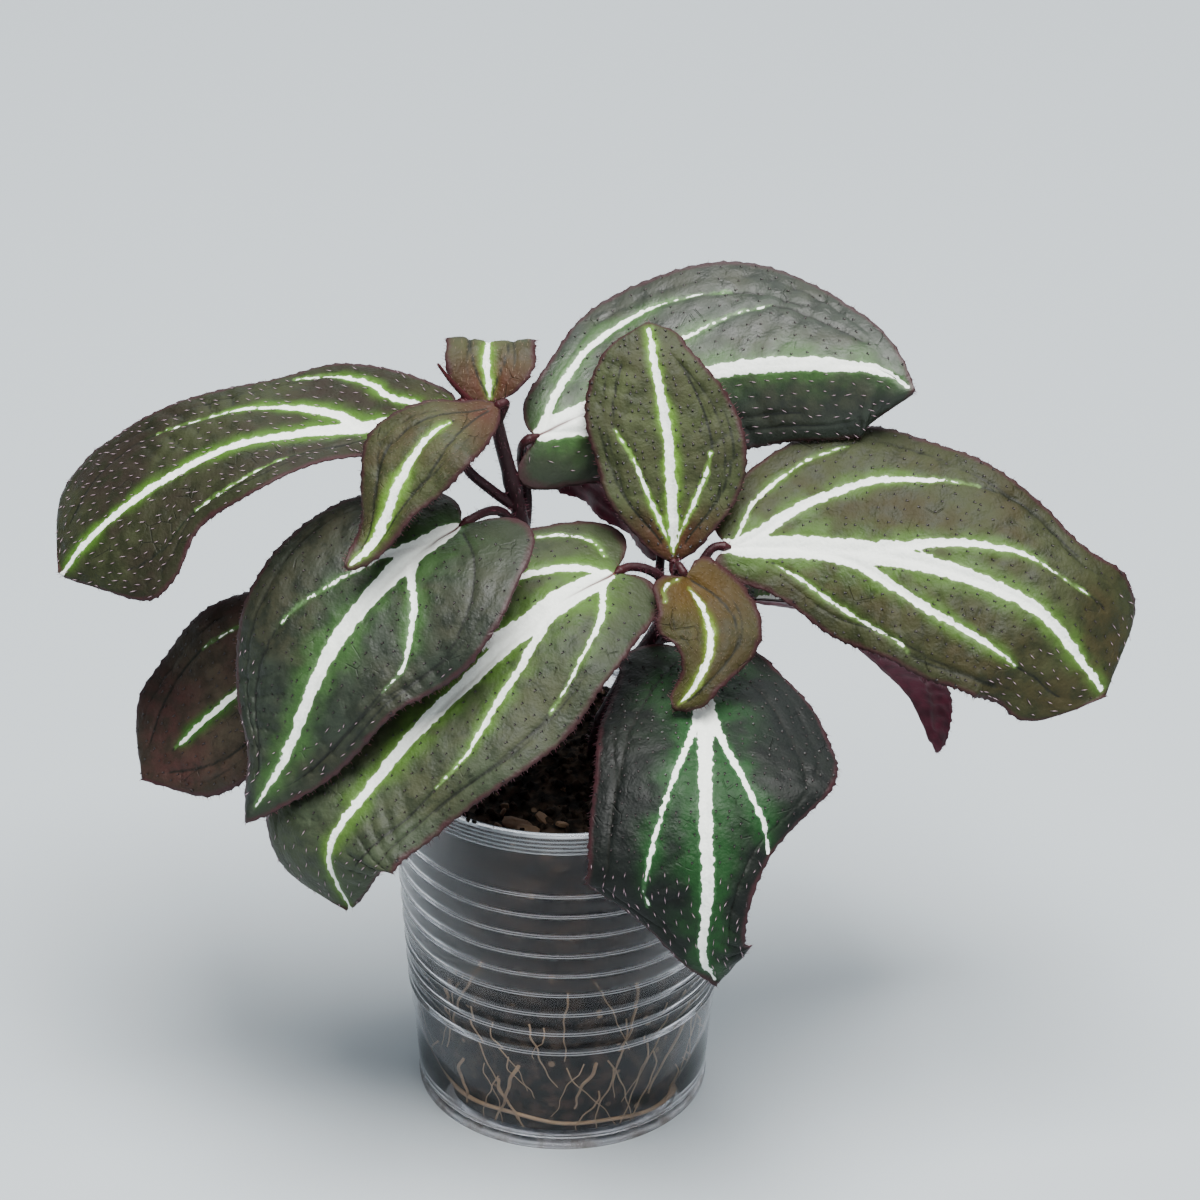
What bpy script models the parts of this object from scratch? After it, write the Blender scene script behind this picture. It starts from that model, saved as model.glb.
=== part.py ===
"""A potted sonerila: two leafy shoots rooted in soil, in a clear ribbed plastic cup.

Metres, +Z up. The origin is the middle of the cup's underside, and the plant's
front faces -Y. Sizes below are in millimetres until MM turns them into metres.
"""

import math
import random

import bmesh
import bpy
import numpy as np

MM = 0.001

# Cup: rim, ribbed wall, plain lower wall and foot
CUP_HEIGHT = 79.6
RIM_RADIUS = 36.0
RIM_DEPTH = 4.2
RIM_INNER_RADIUS = 33.9
WALL = 0.9
WALL_TOP_RADIUS = 34.9
WALL_FOOT_RADIUS = 30.1
RIB_COUNT = 9
RIB_PITCH = 4.9
TOP_RIB_HEIGHT = 64.4
RIB_RISE = 0.5
RIB_SHELF = 0.9
STEP_HEIGHT = 19.5
STEP_IN = 0.35
FOOT_RING_HEIGHT = 3.5
FLOOR = 1.2
PAD_RADIUS = 21.0
GROOVE_INNER = 22.5
GROOVE_OUTER = 26.5
GROOVE_RISE = 1.6
CUP_SIDES = 36

# Soil and roots inside the cup
GAP = 0.35
ROOT_GAP = 0.5
SOIL_TOP = 74.0
SOIL_LUMP = 0.9
ROOT_RADIUS = 0.42
ROOT_ZONE_TOP = 47.0
ROOT_TOPS = (24.0, 44.0)
ROOT_FOOT = 4.0
ROOT_RING_HEIGHT = 6.5
ROOT_RING_WAVE = 1.2
ROOT_RING_STEPS = 32
ROOT_STRANDS = 12
ROOT_STEPS = 6
ROOT_SEED = 11

# Leaf blades
BLADE_THICKNESS = 0.7
TIP_HALF_WIDTH = 0.4
BASE_HALF_WIDTH = 1.0
LOBE_AT = 0.04
TOOTH_DEPTH = 0.5
WIDTH_AT = (0.0, LOBE_AT, 0.12, 0.25, 0.45, 0.65, 0.75, 0.85, 0.95, 1.0)
BASE_ROWS = (0.0, 0.015, 0.035, 0.06)
ACROSS = (-1.0, -0.5, 0.0, 0.5, 1.0)

# Each leaf: its midrib from base to tip, the way its upper face looks at the base,
# half-widths at the places of WIDTH_AT between the base and the tip, the rise of each
# half-blade in degrees at even steps along the midrib, how far each half curls down in
# degrees, how far its basal lobes reach back, the wave of its edge as height, number
# and phase, and the number of rows of its grid.
LEAVES = {
    "leaf_left_long": dict(
        rib=((-21, 4, 153.5), (-39.5, 3, 147.5), (-63, 1, 145.5), (-82.5, -2, 136), (-94, -4, 126), (-98.3, -5, 120)),
        face=(0, 0, 1),
        left=(7, 9, 7, 16, 15, 20.5, 20, 9.5), right=(6, 15, 22, 21, 21.5, 23.5, 24.5, 16),
        left_tilt=(0, 0, -3, -28, -30), right_tilt=(20, 18, 15, 16, 14),
        left_curl=10, right_curl=15, lobes=(3, 1.5), wave=(0.8, 2.5, 0.0), rows=34,
    ),
    "leaf_left_young": dict(
        rib=((-14.5, 6, 152.8), (-15, 9.5, 158), (-15, 14, 161.5), (-15, 19, 158.5), (-15, 23, 151)),
        face=(0, -1, 0.3),
        left=(4, 6.5, 8, 8, 7.5, 6.5, 5, 2.5), right=(4, 7, 9, 9, 8.5, 7.5, 6, 3),
        left_tilt=(15, 15, 20), right_tilt=(15, 5, 5),
        left_curl=10, right_curl=10, lobes=(0, 0), wave=(0.6, 2, 0.3), rows=20,
    ),
    "leaf_left_folded": dict(
        rib=((-13, 1, 154.8), (-25, -8, 153.5), (-32, -15, 145), (-37, -20, 135.5), (-41.5, -23, 132)),
        face=(-0.2, -0.5, 0.85),
        left=(3.5, 6.5, 9.5, 9.5, 6, 4.5, 3, 1.5), right=(3, 4, 7.5, 11.5, 7.5, 5.5, 4, 2),
        left_tilt=(5, 5, 0), right_tilt=(5, 5, 0),
        left_curl=20, right_curl=20, lobes=(0, 0), wave=(0.6, 2.5, 0.1), rows=24,
    ),
    "leaf_front_left": dict(
        rib=((-19.5, -5, 132), (-29.5, -13, 128.5), (-44, -24, 115.5), (-53.5, -32, 95.5), (-61.5, -34, 81.5)),
        face=(-0.2, -0.4, 0.9),
        left=(13, 22, 25.5, 21, 15, 11, 7, 3), right=(9, 17, 23, 23, 19, 14.5, 8, 4),
        left_tilt=(32, 5, 0, 0, 0), right_tilt=(15, 15, 15, 12, 10),
        left_curl=25, right_curl=25, lobes=(10, 5), wave=(0.8, 3, 0.2), rows=34,
    ),
    "leaf_front": dict(
        rib=((11, -6, 122.3), (0.5, -14, 120.5), (-18, -25, 108.5), (-35, -36, 93.5), (-45, -43, 80.5), (-41, -43, 67.5)),
        face=(-0.2, -0.4, 0.9),
        left=(9, 16, 20.5, 22, 17, 15.5, 14.5, 6.5), right=(11, 19, 24, 26, 25, 22.5, 18, 11.5),
        left_tilt=(0, 0, 0), right_tilt=(15, 15, 10),
        left_curl=25, right_curl=25, lobes=(7, 10), wave=(0.9, 3, 0.5), rows=38,
    ),
    "leaf_low_left": dict(
        rib=((-40, 1, 110), (-52, -2, 104), (-65, -5, 94), (-76, -7, 83.5), (-84, -8, 75)),
        face=(-0.2, -0.4, 0.9),
        left=(7, 10, 14, 17.5, 17.5, 15.5, 12, 4.5), right=(7, 10, 15, 19, 19, 17, 14, 6.5),
        left_tilt=(0, 0, -5), right_tilt=(15, 15, 15),
        left_curl=20, right_curl=20, lobes=(4, 4), wave=(0.8, 2.5, 0.4), rows=28,
    ),
    "leaf_back_tall": dict(
        rib=((-6, 9.5, 143.5), (5, 14, 147), (30, 20, 153), (52, 20, 154.5), (64, 18.5, 153), (68.5, 16.5, 150.5)),
        face=(0, -0.3, 0.95),
        left=(7, 13, 22, 25, 23.5, 18.5, 12, 3), right=(8, 13, 17, 17, 17.2, 17, 15, 11),
        left_tilt=(15, 15, 10), right_tilt=(-35, -45, -40),
        left_curl=15, right_curl=40, lobes=(2, 8.8), wave=(0.9, 2.5, 0.7), rows=36,
    ),
    "leaf_right_young": dict(
        rib=((21.5, -1.5, 122), (21, 3, 135.5), (20, 8, 146), (18, 14, 156), (16, 21, 163)),
        face=(0, -0.9, 0.4),
        left=(4, 7.5, 12, 14.5, 15.5, 14.5, 12, 7), right=(4, 7.5, 12.5, 15, 12.5, 10, 7, 4.5),
        left_tilt=(15, 5, 0), right_tilt=(15, 5, 0),
        left_curl=15, right_curl=15, lobes=(0, 0), wave=(0.5, 3, 0.2), rows=26,
    ),
    "leaf_right_big": dict(
        rib=((31.5, 0, 124.5), (50, 0, 124), (73.5, -6, 123.5), (92, -11.5, 117.5), (106.3, -15, 100.3)),
        face=(0, -0.64, 0.77),
        left=(9, 20, 27.5, 26, 21, 17.5, 19.5, 13), right=(5, 9, 16, 20.5, 21.5, 21, 18, 13),
        left_tilt=(5, 3, 0), right_tilt=(0, 0, -5),
        left_curl=20, right_curl=20, lobes=(5, 4.5), wave=(1, 3.5, 0.1), rows=38,
    ),
    "leaf_right_folded": dict(
        rib=((23.5, -8.5, 123), (27.2, -12.8, 118.4), (28.5, -19, 114), (26, -24.5, 108.5), (21.5, -27, 103.5)),
        face=(0, -0.6, 0.8),
        left=(5, 7.5, 9.5, 10, 6, 4.5, 4, 2), right=(6, 8.5, 10, 10, 5, 3.5, 3, 2),
        left_tilt=(5, 5, 0), right_tilt=(26, 20, 0),
        left_curl=20, right_curl=20, lobes=(2.5, 2.8), wave=(0.5, 2.5, 0.0), rows=22,
    ),
    "leaf_front_low": dict(
        rib=((25.5, -4, 103), (27.5, -22, 101), (27.5, -44, 94), (28, -54, 79.5), (27.5, -56, 64), (30.5, -53, 57.5)),
        face=(0, -0.5, 0.85),
        left=(11, 17.5, 24, 25, 12, 8.5, 8.5, 8), right=(11, 16, 20, 21.5, 23, 22.5, 9, 1.5),
        left_tilt=(0, 0, 0), right_tilt=(0, 0, 0),
        left_curl=25, right_curl=25, lobes=(6, 6), wave=(0.9, 3, 0.6), rows=34,
    ),
    "leaf_back_right": dict(
        rib=((37.5, 8, 108), (49.5, 20, 98.5), (62.5, 32, 81.5), (73, 38, 66), (78, 40, 53)),
        face=(0.6, 0.55, 0.5),
        left=(6, 9, 11, 11, 9, 7.5, 5.5, 3), right=(6, 9, 12, 12.5, 12, 10.5, 8, 4),
        left_tilt=(40, 60, 60), right_tilt=(30, 30, 30),
        left_curl=20, right_curl=20, lobes=(4, 4), wave=(0.8, 3, 0.3), rows=32,
    ),
    "leaf_back": dict(
        rib=((18, 4.5, 122.5), (13, 14, 125.3), (5.5, 20.5, 129), (-2, 26, 130.5), (-8, 31, 129)),
        face=(0.3, 0.9, 0.2),
        left=(3.5, 4, 5, 7, 7, 6, 4, 2), right=(3, 4.5, 6, 7, 7.5, 7, 5, 2.5),
        left_tilt=(0, 0, 0), right_tilt=(0, 0, 0),
        left_curl=20, right_curl=20, lobes=(3, 3), wave=(0.8, 3, 0.8), rows=28,
    ),
}

# Each shoot: its stem, then the way of each petiole from the stem to its leaf
STEM_RADIUS = 2.2
APEX_RADIUS = 1.4
PETIOLE_RADIUS = 1.15
PETIOLE_TIP_RADIUS = 0.8
PETIOLE_END = 1.2
PETIOLE_GAP = 0.6
STEM_FOOT = 62.0
HOLE_SLACK = 0.3
SHOOTS = {
    "stem_left": dict(
        stem=((-5, 7, STEM_FOOT), (-5, 7, 80), (-6.5, 7.5, 105), (-9, 7.5, 128), (-12.5, 5.5, 145), (-13.5, 4.5, 150.5)),
        petioles={
            "leaf_left_long": ((-9.5, 7.2, 129), (-14.5, 5.8, 133.8), (-19.4, 4.6, 139.8), (-19.2, 4.2, 148.5)),
            "leaf_left_young": ((-13.5, 4.5, 149.5), (-14, 5.2, 151)),
            "leaf_left_folded": ((-13.5, 4.4, 149), (-12.2, 3.4, 152.2)),
            "leaf_front_left": ((-9, 7.3, 123), (-12.8, 3, 130.5)),
            "leaf_low_left": ((-6.5, 7.5, 104), (-18, 6, 112), (-31, 3.5, 113)),
            "leaf_back_tall": ((-8.2, 7.8, 120), (-7.4, 9.6, 130), (-8.6, 11, 138.5)),
        },
    ),
    "stem_right": dict(
        stem=((7, 3, STEM_FOOT), (7, 3, 78), (12, 2.5, 92), (18.5, -0.5, 106), (21.5, -3, 115), (22.2, -3.6, 119)),
        petioles={
            "leaf_right_young": ((22, -3.5, 118), (21.8, -2.6, 120)),
            "leaf_right_folded": ((22.3, -3.8, 117.5), (22.3, -4.5, 121.3)),
            "leaf_front": ((21, -2.8, 114), (18.5, -3.2, 119.8)),
            "leaf_right_big": ((21.5, -3, 114.5), (26.5, -1.5, 121)),
            "leaf_front_low": ((17.5, 0, 103), (22, 0.2, 103.8)),
            "leaf_back_right": ((14, 2, 96), (25, 4.5, 106)),
            "leaf_back": ((20, -1.5, 111), (18.8, 0.5, 118.5)),
        },
    ),
}
BRACT = ((-13.8, 4.6, 149.8), (-18.3, 4.2, 154.2), (-22, 4, 158.5), (-24.6, 4.2, 162.3))
BRACT_RADIUS = 0.9


def clear_scene():
    for item in list(bpy.data.objects):
        bpy.data.objects.remove(item, do_unlink=True)


def new_collection(name):
    group = bpy.data.collections.new(name)
    bpy.context.scene.collection.children.link(group)
    return group


def new_material(name, colour, roughness, transmission=0.0):
    """A Principled material, metallic value 0."""
    material = bpy.data.materials.new(name)
    material.use_nodes = True
    shader = material.node_tree.nodes["Principled BSDF"]
    shader.inputs["Base Color"].default_value = (*colour, 1.0)
    shader.inputs["Roughness"].default_value = roughness
    shader.inputs["Metallic"].default_value = 0.0
    shader.inputs["Transmission Weight"].default_value = transmission
    return material


def add_object(name, data, group, material=None):
    item = bpy.data.objects.new(name, data)
    group.objects.link(item)
    if material:
        data.materials.append(material)
    return item


def mesh_from(shape, name):
    """A mesh data block from a bmesh, which is freed."""
    mesh = bpy.data.meshes.new(name)
    shape.to_mesh(mesh)
    shape.free()
    return mesh


def smooth(knots, values, at):
    """A smooth curve through values at knots, read at each place in at."""
    knots = np.asarray(knots, float)
    values = np.asarray(values, float)
    slopes = np.gradient(values, knots, axis=0)
    i = np.clip(np.searchsorted(knots, at, side="right") - 1, 0, len(knots) - 2)
    step = knots[i + 1] - knots[i]
    u = (at - knots[i]) / step
    if values.ndim > 1:
        u = u[:, None]
        step = step[:, None]
    start = (1 + 2 * u) * (1 - u) ** 2 * values[i] + u * (1 - u) ** 2 * step * slopes[i]
    end = u * u * (3 - 2 * u) * values[i + 1] + u * u * (u - 1) * step * slopes[i + 1]
    return start + end


def along_curve(points, places):
    """Points and directions of a smooth curve through points, at shares of its length."""
    points = np.asarray(points, float)
    chord = np.concatenate([[0], np.cumsum(np.linalg.norm(np.diff(points, axis=0), axis=1))])
    fine = smooth(chord, points, np.linspace(0, chord[-1], 241))
    length = np.concatenate([[0], np.cumsum(np.linalg.norm(np.diff(fine, axis=0), axis=1))])
    turn = np.gradient(fine, length, axis=0)
    at = np.asarray(places, float) * length[-1]
    spots = np.stack([np.interp(at, length, fine[:, k]) for k in range(3)], -1)
    heads = np.stack([np.interp(at, length, turn[:, k]) for k in range(3)], -1)
    return spots, heads / np.linalg.norm(heads, axis=1)[:, None]


def carry_face(heads, face):
    """The upper side's direction, carried along the midrib without twist."""
    facing = np.array(face, float)
    carried = []
    for head in heads:
        facing = facing - (facing @ head) * head
        facing = facing / np.linalg.norm(facing)
        carried.append(facing)
    return np.array(carried)


def half_blade(leaf, side, rows):
    """Half-width, rise and lobe of one half-blade at each row; side is left or right."""
    width = smooth(WIDTH_AT, (BASE_HALF_WIDTH, *leaf[side], TIP_HALF_WIDTH), rows)
    tilts = leaf[side + "_tilt"]
    tilt = np.radians(smooth(np.linspace(0, 1, len(tilts)), tilts, rows))
    lobe = leaf["lobes"][0 if side == "left" else 1]
    back = lobe * rows / LOBE_AT * np.exp(1 - rows / LOBE_AT)
    return np.maximum(width, TIP_HALF_WIDTH), tilt, back


def blade_points(leaf, rows, across):
    """The blade's middle surface in millimetres, as rows of points from edge to edge."""
    fine = np.unique(np.concatenate([np.linspace(0, 1, 121), rows]))
    spots, heads = along_curve(leaf["rib"], fine)
    facing = carry_face(heads, leaf["face"])
    pick = np.searchsorted(fine, rows)
    spots, heads, facing = spots[pick], heads[pick], facing[pick]
    leftward = np.cross(facing, heads)
    height, count, phase = leaf["wave"]
    teeth = TOOTH_DEPTH * (np.arange(len(rows)) % 2) * np.clip(rows / LOBE_AT, 0, 1) * (rows < 1)
    grid = np.zeros((len(rows), len(across), 3))
    for j, place in enumerate(across):
        side, sign = ("left", 1) if place > 0 else ("right", -1)
        share = abs(place)
        width, tilt, back = half_blade(leaf, side, rows)
        width = width + teeth * (share == 1)
        curl = np.radians(leaf[side + "_curl"])
        bent = tilt - curl * share
        out = width * (np.sin(tilt) - np.sin(bent)) / curl
        up = width * (np.cos(bent) - np.cos(tilt)) / curl
        ripple = np.sin(2 * math.pi * (count * rows + phase + 0.3 * sign))
        up = up + height * ripple * share**2 * np.clip(4 * rows, 0, 1)
        grid[:, j] = spots + leftward * (sign * out)[:, None] + facing * up[:, None]
        grid[:, j] -= heads * (back * share**2)[:, None]
    return grid


def make_leaf(name, leaf, group, material):
    """A toothed, waved blade of even thickness, from a grid bent to the leaf's form."""
    rows = np.array((*BASE_ROWS, *np.linspace(0.09, 1, leaf["rows"] - len(BASE_ROWS))))
    points = blade_points(leaf, rows, ACROSS) * MM
    shape = bmesh.new()
    last_row, last_column = len(rows) - 1, len(ACROSS) - 1
    bmesh.ops.create_grid(shape, x_segments=last_row, y_segments=last_column, size=1)
    for vertex in shape.verts:
        row = round((vertex.co.x + 1) / 2 * last_row)
        column = round((vertex.co.y + 1) / 2 * last_column)
        vertex.co = points[row, column]
    bmesh.ops.triangulate(shape, faces=shape.faces, quad_method="SHORT_EDGE")
    blade = add_object(name, mesh_from(shape, name), group, material)
    thickness = blade.modifiers.new("Thickness", "SOLIDIFY")
    thickness.thickness = BLADE_THICKNESS * MM
    thickness.offset = 0
    blade.data.shade_smooth()
    return blade


def make_tube(name, points, radii, group, resolution, closed=False):
    """A tube through points, in millimetres, as a mesh object: capped, or closed in a ring."""
    curve = bpy.data.curves.new(name, "CURVE")
    curve.dimensions = "3D"
    curve.bevel_depth = MM
    curve.bevel_resolution = resolution
    curve.use_fill_caps = True
    spline = curve.splines.new("POLY")
    spline.points.add(len(points) - 1)
    spline.use_cyclic_u = closed
    for knot, point, radius in zip(spline.points, points, radii):
        knot.co = (point[0] * MM, point[1] * MM, point[2] * MM, 1)
        knot.radius = radius
    guide = add_object(name, curve, group)
    seen = guide.evaluated_get(bpy.context.evaluated_depsgraph_get())
    mesh = bpy.data.meshes.new_from_object(seen)
    bpy.data.objects.remove(guide)
    shape = bmesh.new()
    shape.from_mesh(mesh)
    bmesh.ops.remove_doubles(shape, verts=shape.verts, dist=0.01 * MM)
    bmesh.ops.recalc_face_normals(shape, faces=shape.faces)
    shape.to_mesh(mesh)
    shape.free()
    return add_object(name, mesh, group)


def fuse(body, pieces):
    """Joins the collection pieces to body in one Boolean union, then removes them."""
    union = body.modifiers.new("Join", "BOOLEAN")
    union.operation = "UNION"
    union.operand_type = "COLLECTION"
    union.collection = pieces
    union.solver = "EXACT"
    seen = body.evaluated_get(bpy.context.evaluated_depsgraph_get())
    mesh = bpy.data.meshes.new_from_object(seen)
    body.modifiers.remove(union)
    body.data = mesh
    for piece in list(pieces.objects):
        bpy.data.objects.remove(piece, do_unlink=True)
    bpy.data.collections.remove(pieces)


def tube_points(knots, spacing):
    """Points about spacing apart along a smooth curve through knots."""
    knots = np.asarray(knots, float)
    length = np.linalg.norm(np.diff(knots, axis=0), axis=1).sum()
    places = np.linspace(0, 1, max(2, round(length / spacing)) + 1)
    return along_curve(knots, places)[0]


def leaf_base(leaf):
    """A petiole's last stretch: in line with the midrib, to just short of the blade."""
    spots, heads = along_curve(leaf["rib"], np.array([0.0]))
    return [spots[0] - heads[0] * (PETIOLE_END + PETIOLE_GAP), spots[0] - heads[0] * PETIOLE_GAP]


def make_shoot(name, shoot, group, material):
    """A stem with its petioles, fused in one piece."""
    spine = tube_points(shoot["stem"], 6)
    taper = np.linspace(STEM_RADIUS, APEX_RADIUS, len(spine))
    stem = make_tube(name, spine, taper, group, 2)
    pieces = new_collection(name + " pieces")
    for leaf_name, way in shoot["petioles"].items():
        near, end = leaf_base(LEAVES[leaf_name])
        points = [*tube_points((*way, near), 4), end]
        radii = np.linspace(PETIOLE_RADIUS, PETIOLE_TIP_RADIUS, len(points))
        make_tube("petiole", points, radii, pieces, 1)
    if name == "stem_left":
        points = tube_points(BRACT, 4)
        make_tube("bract", points, np.linspace(BRACT_RADIUS, 0.35, len(points)), pieces, 1)
    fuse(stem, pieces)
    stem.data.materials.clear()
    stem.data.materials.append(material)
    stem.data.shade_smooth()
    return stem


def wall_radius(height):
    """The cup's outer wall radius at a height, without its ribs."""
    share = (height - FOOT_RING_HEIGHT) / (CUP_HEIGHT - RIM_DEPTH - FOOT_RING_HEIGHT)
    radius = WALL_FOOT_RADIUS + share * (WALL_TOP_RADIUS - WALL_FOOT_RADIUS)
    return radius - STEP_IN if height < STEP_HEIGHT else radius


def inner_radius(height):
    """The cup's inner wall radius at a height: straight, and clear of every groove."""
    share = height / CUP_HEIGHT
    foot = WALL_FOOT_RADIUS - STEP_IN - WALL - 0.1
    return foot + share * (RIM_INNER_RADIUS - foot)


def cup_profile():
    """The cup's section, up its inside and down its outside, as radius and height."""
    inside = [(0, FLOOR), (GROOVE_INNER - 2, FLOOR), (GROOVE_INNER, FLOOR + GROOVE_RISE)]
    inside += [(inner_radius(FLOOR + GROOVE_RISE) - 1, FLOOR + GROOVE_RISE)]
    inside += [(inner_radius(FLOOR + GROOVE_RISE + 1), FLOOR + GROOVE_RISE + 1)]
    inside += [(inner_radius(STEP_HEIGHT), STEP_HEIGHT)]
    inside += [(inner_radius(CUP_HEIGHT - 1), CUP_HEIGHT - 1)]
    rim = [(RIM_INNER_RADIUS + 0.6, CUP_HEIGHT), (RIM_RADIUS - 0.7, CUP_HEIGHT)]
    rim += [(RIM_RADIUS, CUP_HEIGHT - 0.8), (RIM_RADIUS - 0.15, CUP_HEIGHT - RIM_DEPTH / 2)]
    rim += [(RIM_RADIUS, CUP_HEIGHT - RIM_DEPTH + 0.3), (RIM_RADIUS - 0.4, CUP_HEIGHT - RIM_DEPTH)]
    rim += [(wall_radius(CUP_HEIGHT - RIM_DEPTH - 1), CUP_HEIGHT - RIM_DEPTH - 0.1)]
    outside = []
    for k in range(RIB_COUNT):
        height = TOP_RIB_HEIGHT - k * RIB_PITCH
        outside.append((wall_radius(height) + RIB_RISE, height))
        outside.append((wall_radius(height - RIB_SHELF), height - RIB_SHELF))
    outside += [(wall_radius(STEP_HEIGHT), STEP_HEIGHT), (wall_radius(STEP_HEIGHT - 0.6), STEP_HEIGHT - 0.6)]
    outside += [(wall_radius(FOOT_RING_HEIGHT), FOOT_RING_HEIGHT)]
    foot = [(WALL_FOOT_RADIUS - 0.7, FOOT_RING_HEIGHT - 0.9), (WALL_FOOT_RADIUS - 0.4, 0.8)]
    foot += [(WALL_FOOT_RADIUS - 1.1, 0), (GROOVE_OUTER + 1, 0), (GROOVE_OUTER, GROOVE_RISE)]
    foot += [(GROOVE_INNER, GROOVE_RISE), (PAD_RADIUS, 0), (0, 0)]
    return inside + rim + outside + foot


def turned(name, profile, group, material, sides):
    """A solid turned about Z from a section of radius and height in millimetres."""
    mesh = bpy.data.meshes.new(name)
    corners = [(radius * MM, 0, height * MM) for radius, height in profile]
    mesh.from_pydata(corners, [(i, i + 1) for i in range(len(corners) - 1)], [])
    item = add_object(name, mesh, group, material)
    screw = item.modifiers.new("Turn", "SCREW")
    screw.steps = sides
    screw.render_steps = sides
    screw.use_merge_vertices = True
    screw.merge_threshold = 0.01 * MM
    screw.use_smooth_shade = True
    return item


def as_mesh(item):
    """Fixes an object's modifiers into its mesh."""
    seen = item.evaluated_get(bpy.context.evaluated_depsgraph_get())
    mesh = bpy.data.meshes.new_from_object(seen)
    item.modifiers.clear()
    item.data = mesh


def soil_profile():
    """The soil's section: a little narrower where the roots run outside it."""
    narrow = 2 * ROOT_GAP + 2 * ROOT_RADIUS
    floor = FLOOR + GROOVE_RISE + GAP
    crown = [(0, SOIL_TOP), (7, SOIL_TOP), (15, SOIL_TOP), (23, SOIL_TOP), (29, SOIL_TOP)]
    crown += [(inner_radius(SOIL_TOP - 1.5) - GAP, SOIL_TOP - 1.5)]
    side = [(inner_radius(ROOT_ZONE_TOP + 2) - GAP, ROOT_ZONE_TOP + 2)]
    side += [(inner_radius(ROOT_ZONE_TOP) - narrow, ROOT_ZONE_TOP)]
    side += [(inner_radius(STEP_HEIGHT) - narrow, STEP_HEIGHT)]
    side += [(inner_radius(floor + 1) - narrow, floor + 1), (inner_radius(floor) - narrow - 1, floor)]
    return crown + side + [(0, floor)]


def lump(x, y):
    """The soil top's rise and fall, in millimetres, at a place in millimetres."""
    broad = math.sin(0.31 * x + 1.0) * math.cos(0.27 * y - 0.4)
    small = math.sin(0.74 * x - 0.5 * y) * math.cos(0.66 * y + 0.3 * x)
    return SOIL_LUMP * (0.6 * broad + 0.4 * small)


def make_soil(group, cutters, material):
    """Soil up to just under the rim, with a hole where each stem stands."""
    soil = turned("soil", soil_profile(), group, material, CUP_SIDES)
    as_mesh(soil)
    for vertex in soil.data.vertices:
        x, y, z = (c / MM for c in vertex.co)
        if z > SOIL_TOP - 0.1:
            vertex.co.z = (SOIL_TOP + lump(x, y)) * MM
    for name, shoot in SHOOTS.items():
        x, y, foot = shoot["stem"][0]
        depth = SOIL_TOP + 4 - foot + GAP
        shape = bmesh.new()
        radius = (STEM_RADIUS + GAP + HOLE_SLACK) * MM
        bmesh.ops.create_cone(
            shape, cap_ends=True, segments=16, radius1=radius, radius2=radius, depth=depth * MM
        )
        hole = add_object(name + " hole", mesh_from(shape, name + " hole"), cutters)
        hole.location = (x * MM, y * MM, (foot - GAP + depth / 2) * MM)
        hole.hide_render = True
        hole.display_type = "WIRE"
        cut = soil.modifiers.new("Hole", "BOOLEAN")
        cut.operation = "DIFFERENCE"
        cut.object = hole
    soil.data.shade_smooth()
    return soil


def root_point(angle, height):
    """A point of the gap between the soil and the cup's wall."""
    radius = inner_radius(height) - ROOT_GAP - ROOT_RADIUS
    return (radius * math.cos(angle), radius * math.sin(angle), height)


def make_roots(group, material):
    """Roots that came out of the soil and run down the wall to one that circles the foot."""
    draw = random.Random(ROOT_SEED)
    ring = []
    for turn in np.linspace(0, 2 * math.pi, ROOT_RING_STEPS, endpoint=False):
        ring.append(root_point(turn, ROOT_RING_HEIGHT + ROOT_RING_WAVE * math.sin(2 * turn)))
    body = make_tube("roots", ring, [ROOT_RADIUS] * len(ring), group, 1, closed=True)
    pieces = new_collection("root pieces")
    for k in range(ROOT_STRANDS):
        start = 2 * math.pi * (k + draw.uniform(-0.3, 0.3)) / ROOT_STRANDS
        top = draw.uniform(*ROOT_TOPS)
        lean = draw.uniform(-0.5, 0.5)
        sway = draw.uniform(0.05, 0.12)
        points = []
        for share in np.linspace(0, 1, ROOT_STEPS + 1):
            turn = start + lean * share + sway * math.sin(5 * share + k)
            points.append(root_point(turn, top + (ROOT_FOOT - top) * share))
        radii = np.linspace(0.8 * ROOT_RADIUS, ROOT_RADIUS, len(points))
        make_tube("strand", points, radii, pieces, 1)
    fuse(body, pieces)
    body.data.materials.clear()
    body.data.materials.append(material)
    body.data.shade_smooth()
    return body


def main():
    clear_scene()
    plant = new_collection("potted sonerila")
    cutters = new_collection("cutters")
    clear_plastic = new_material("clear plastic", (0.86, 0.88, 0.9), 0.12, 0.9)
    earth = new_material("earth", (0.03, 0.024, 0.02), 0.95)
    root_skin = new_material("root skin", (0.5, 0.4, 0.28), 0.7)
    stem_skin = new_material("stem skin", (0.16, 0.03, 0.05), 0.5)
    blade_skin = new_material("blade", (0.09, 0.12, 0.09), 0.4)
    young_skin = new_material("young blade", (0.2, 0.17, 0.08), 0.45)
    turned("pot", cup_profile(), plant, clear_plastic, CUP_SIDES)
    make_soil(plant, cutters, earth)
    make_roots(plant, root_skin)
    for name, shoot in SHOOTS.items():
        make_shoot(name, shoot, plant, stem_skin)
    for name, leaf in LEAVES.items():
        young = name.endswith(("young", "folded"))
        make_leaf(name, leaf, plant, young_skin if young else blade_skin)


main()
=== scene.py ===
"""A potted sonerila, dressed for pictures: two leafy shoots in a clear ribbed plastic cup.

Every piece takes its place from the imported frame: metres, +Z up, the front facing -Y.
Tables of sizes are in millimetres until MM turns them into metres.
"""

import math

import bpy
import numpy as np
from bpy.props import FloatProperty, FloatVectorProperty, IntProperty, PointerProperty
from mathutils import Matrix, Vector


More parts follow.
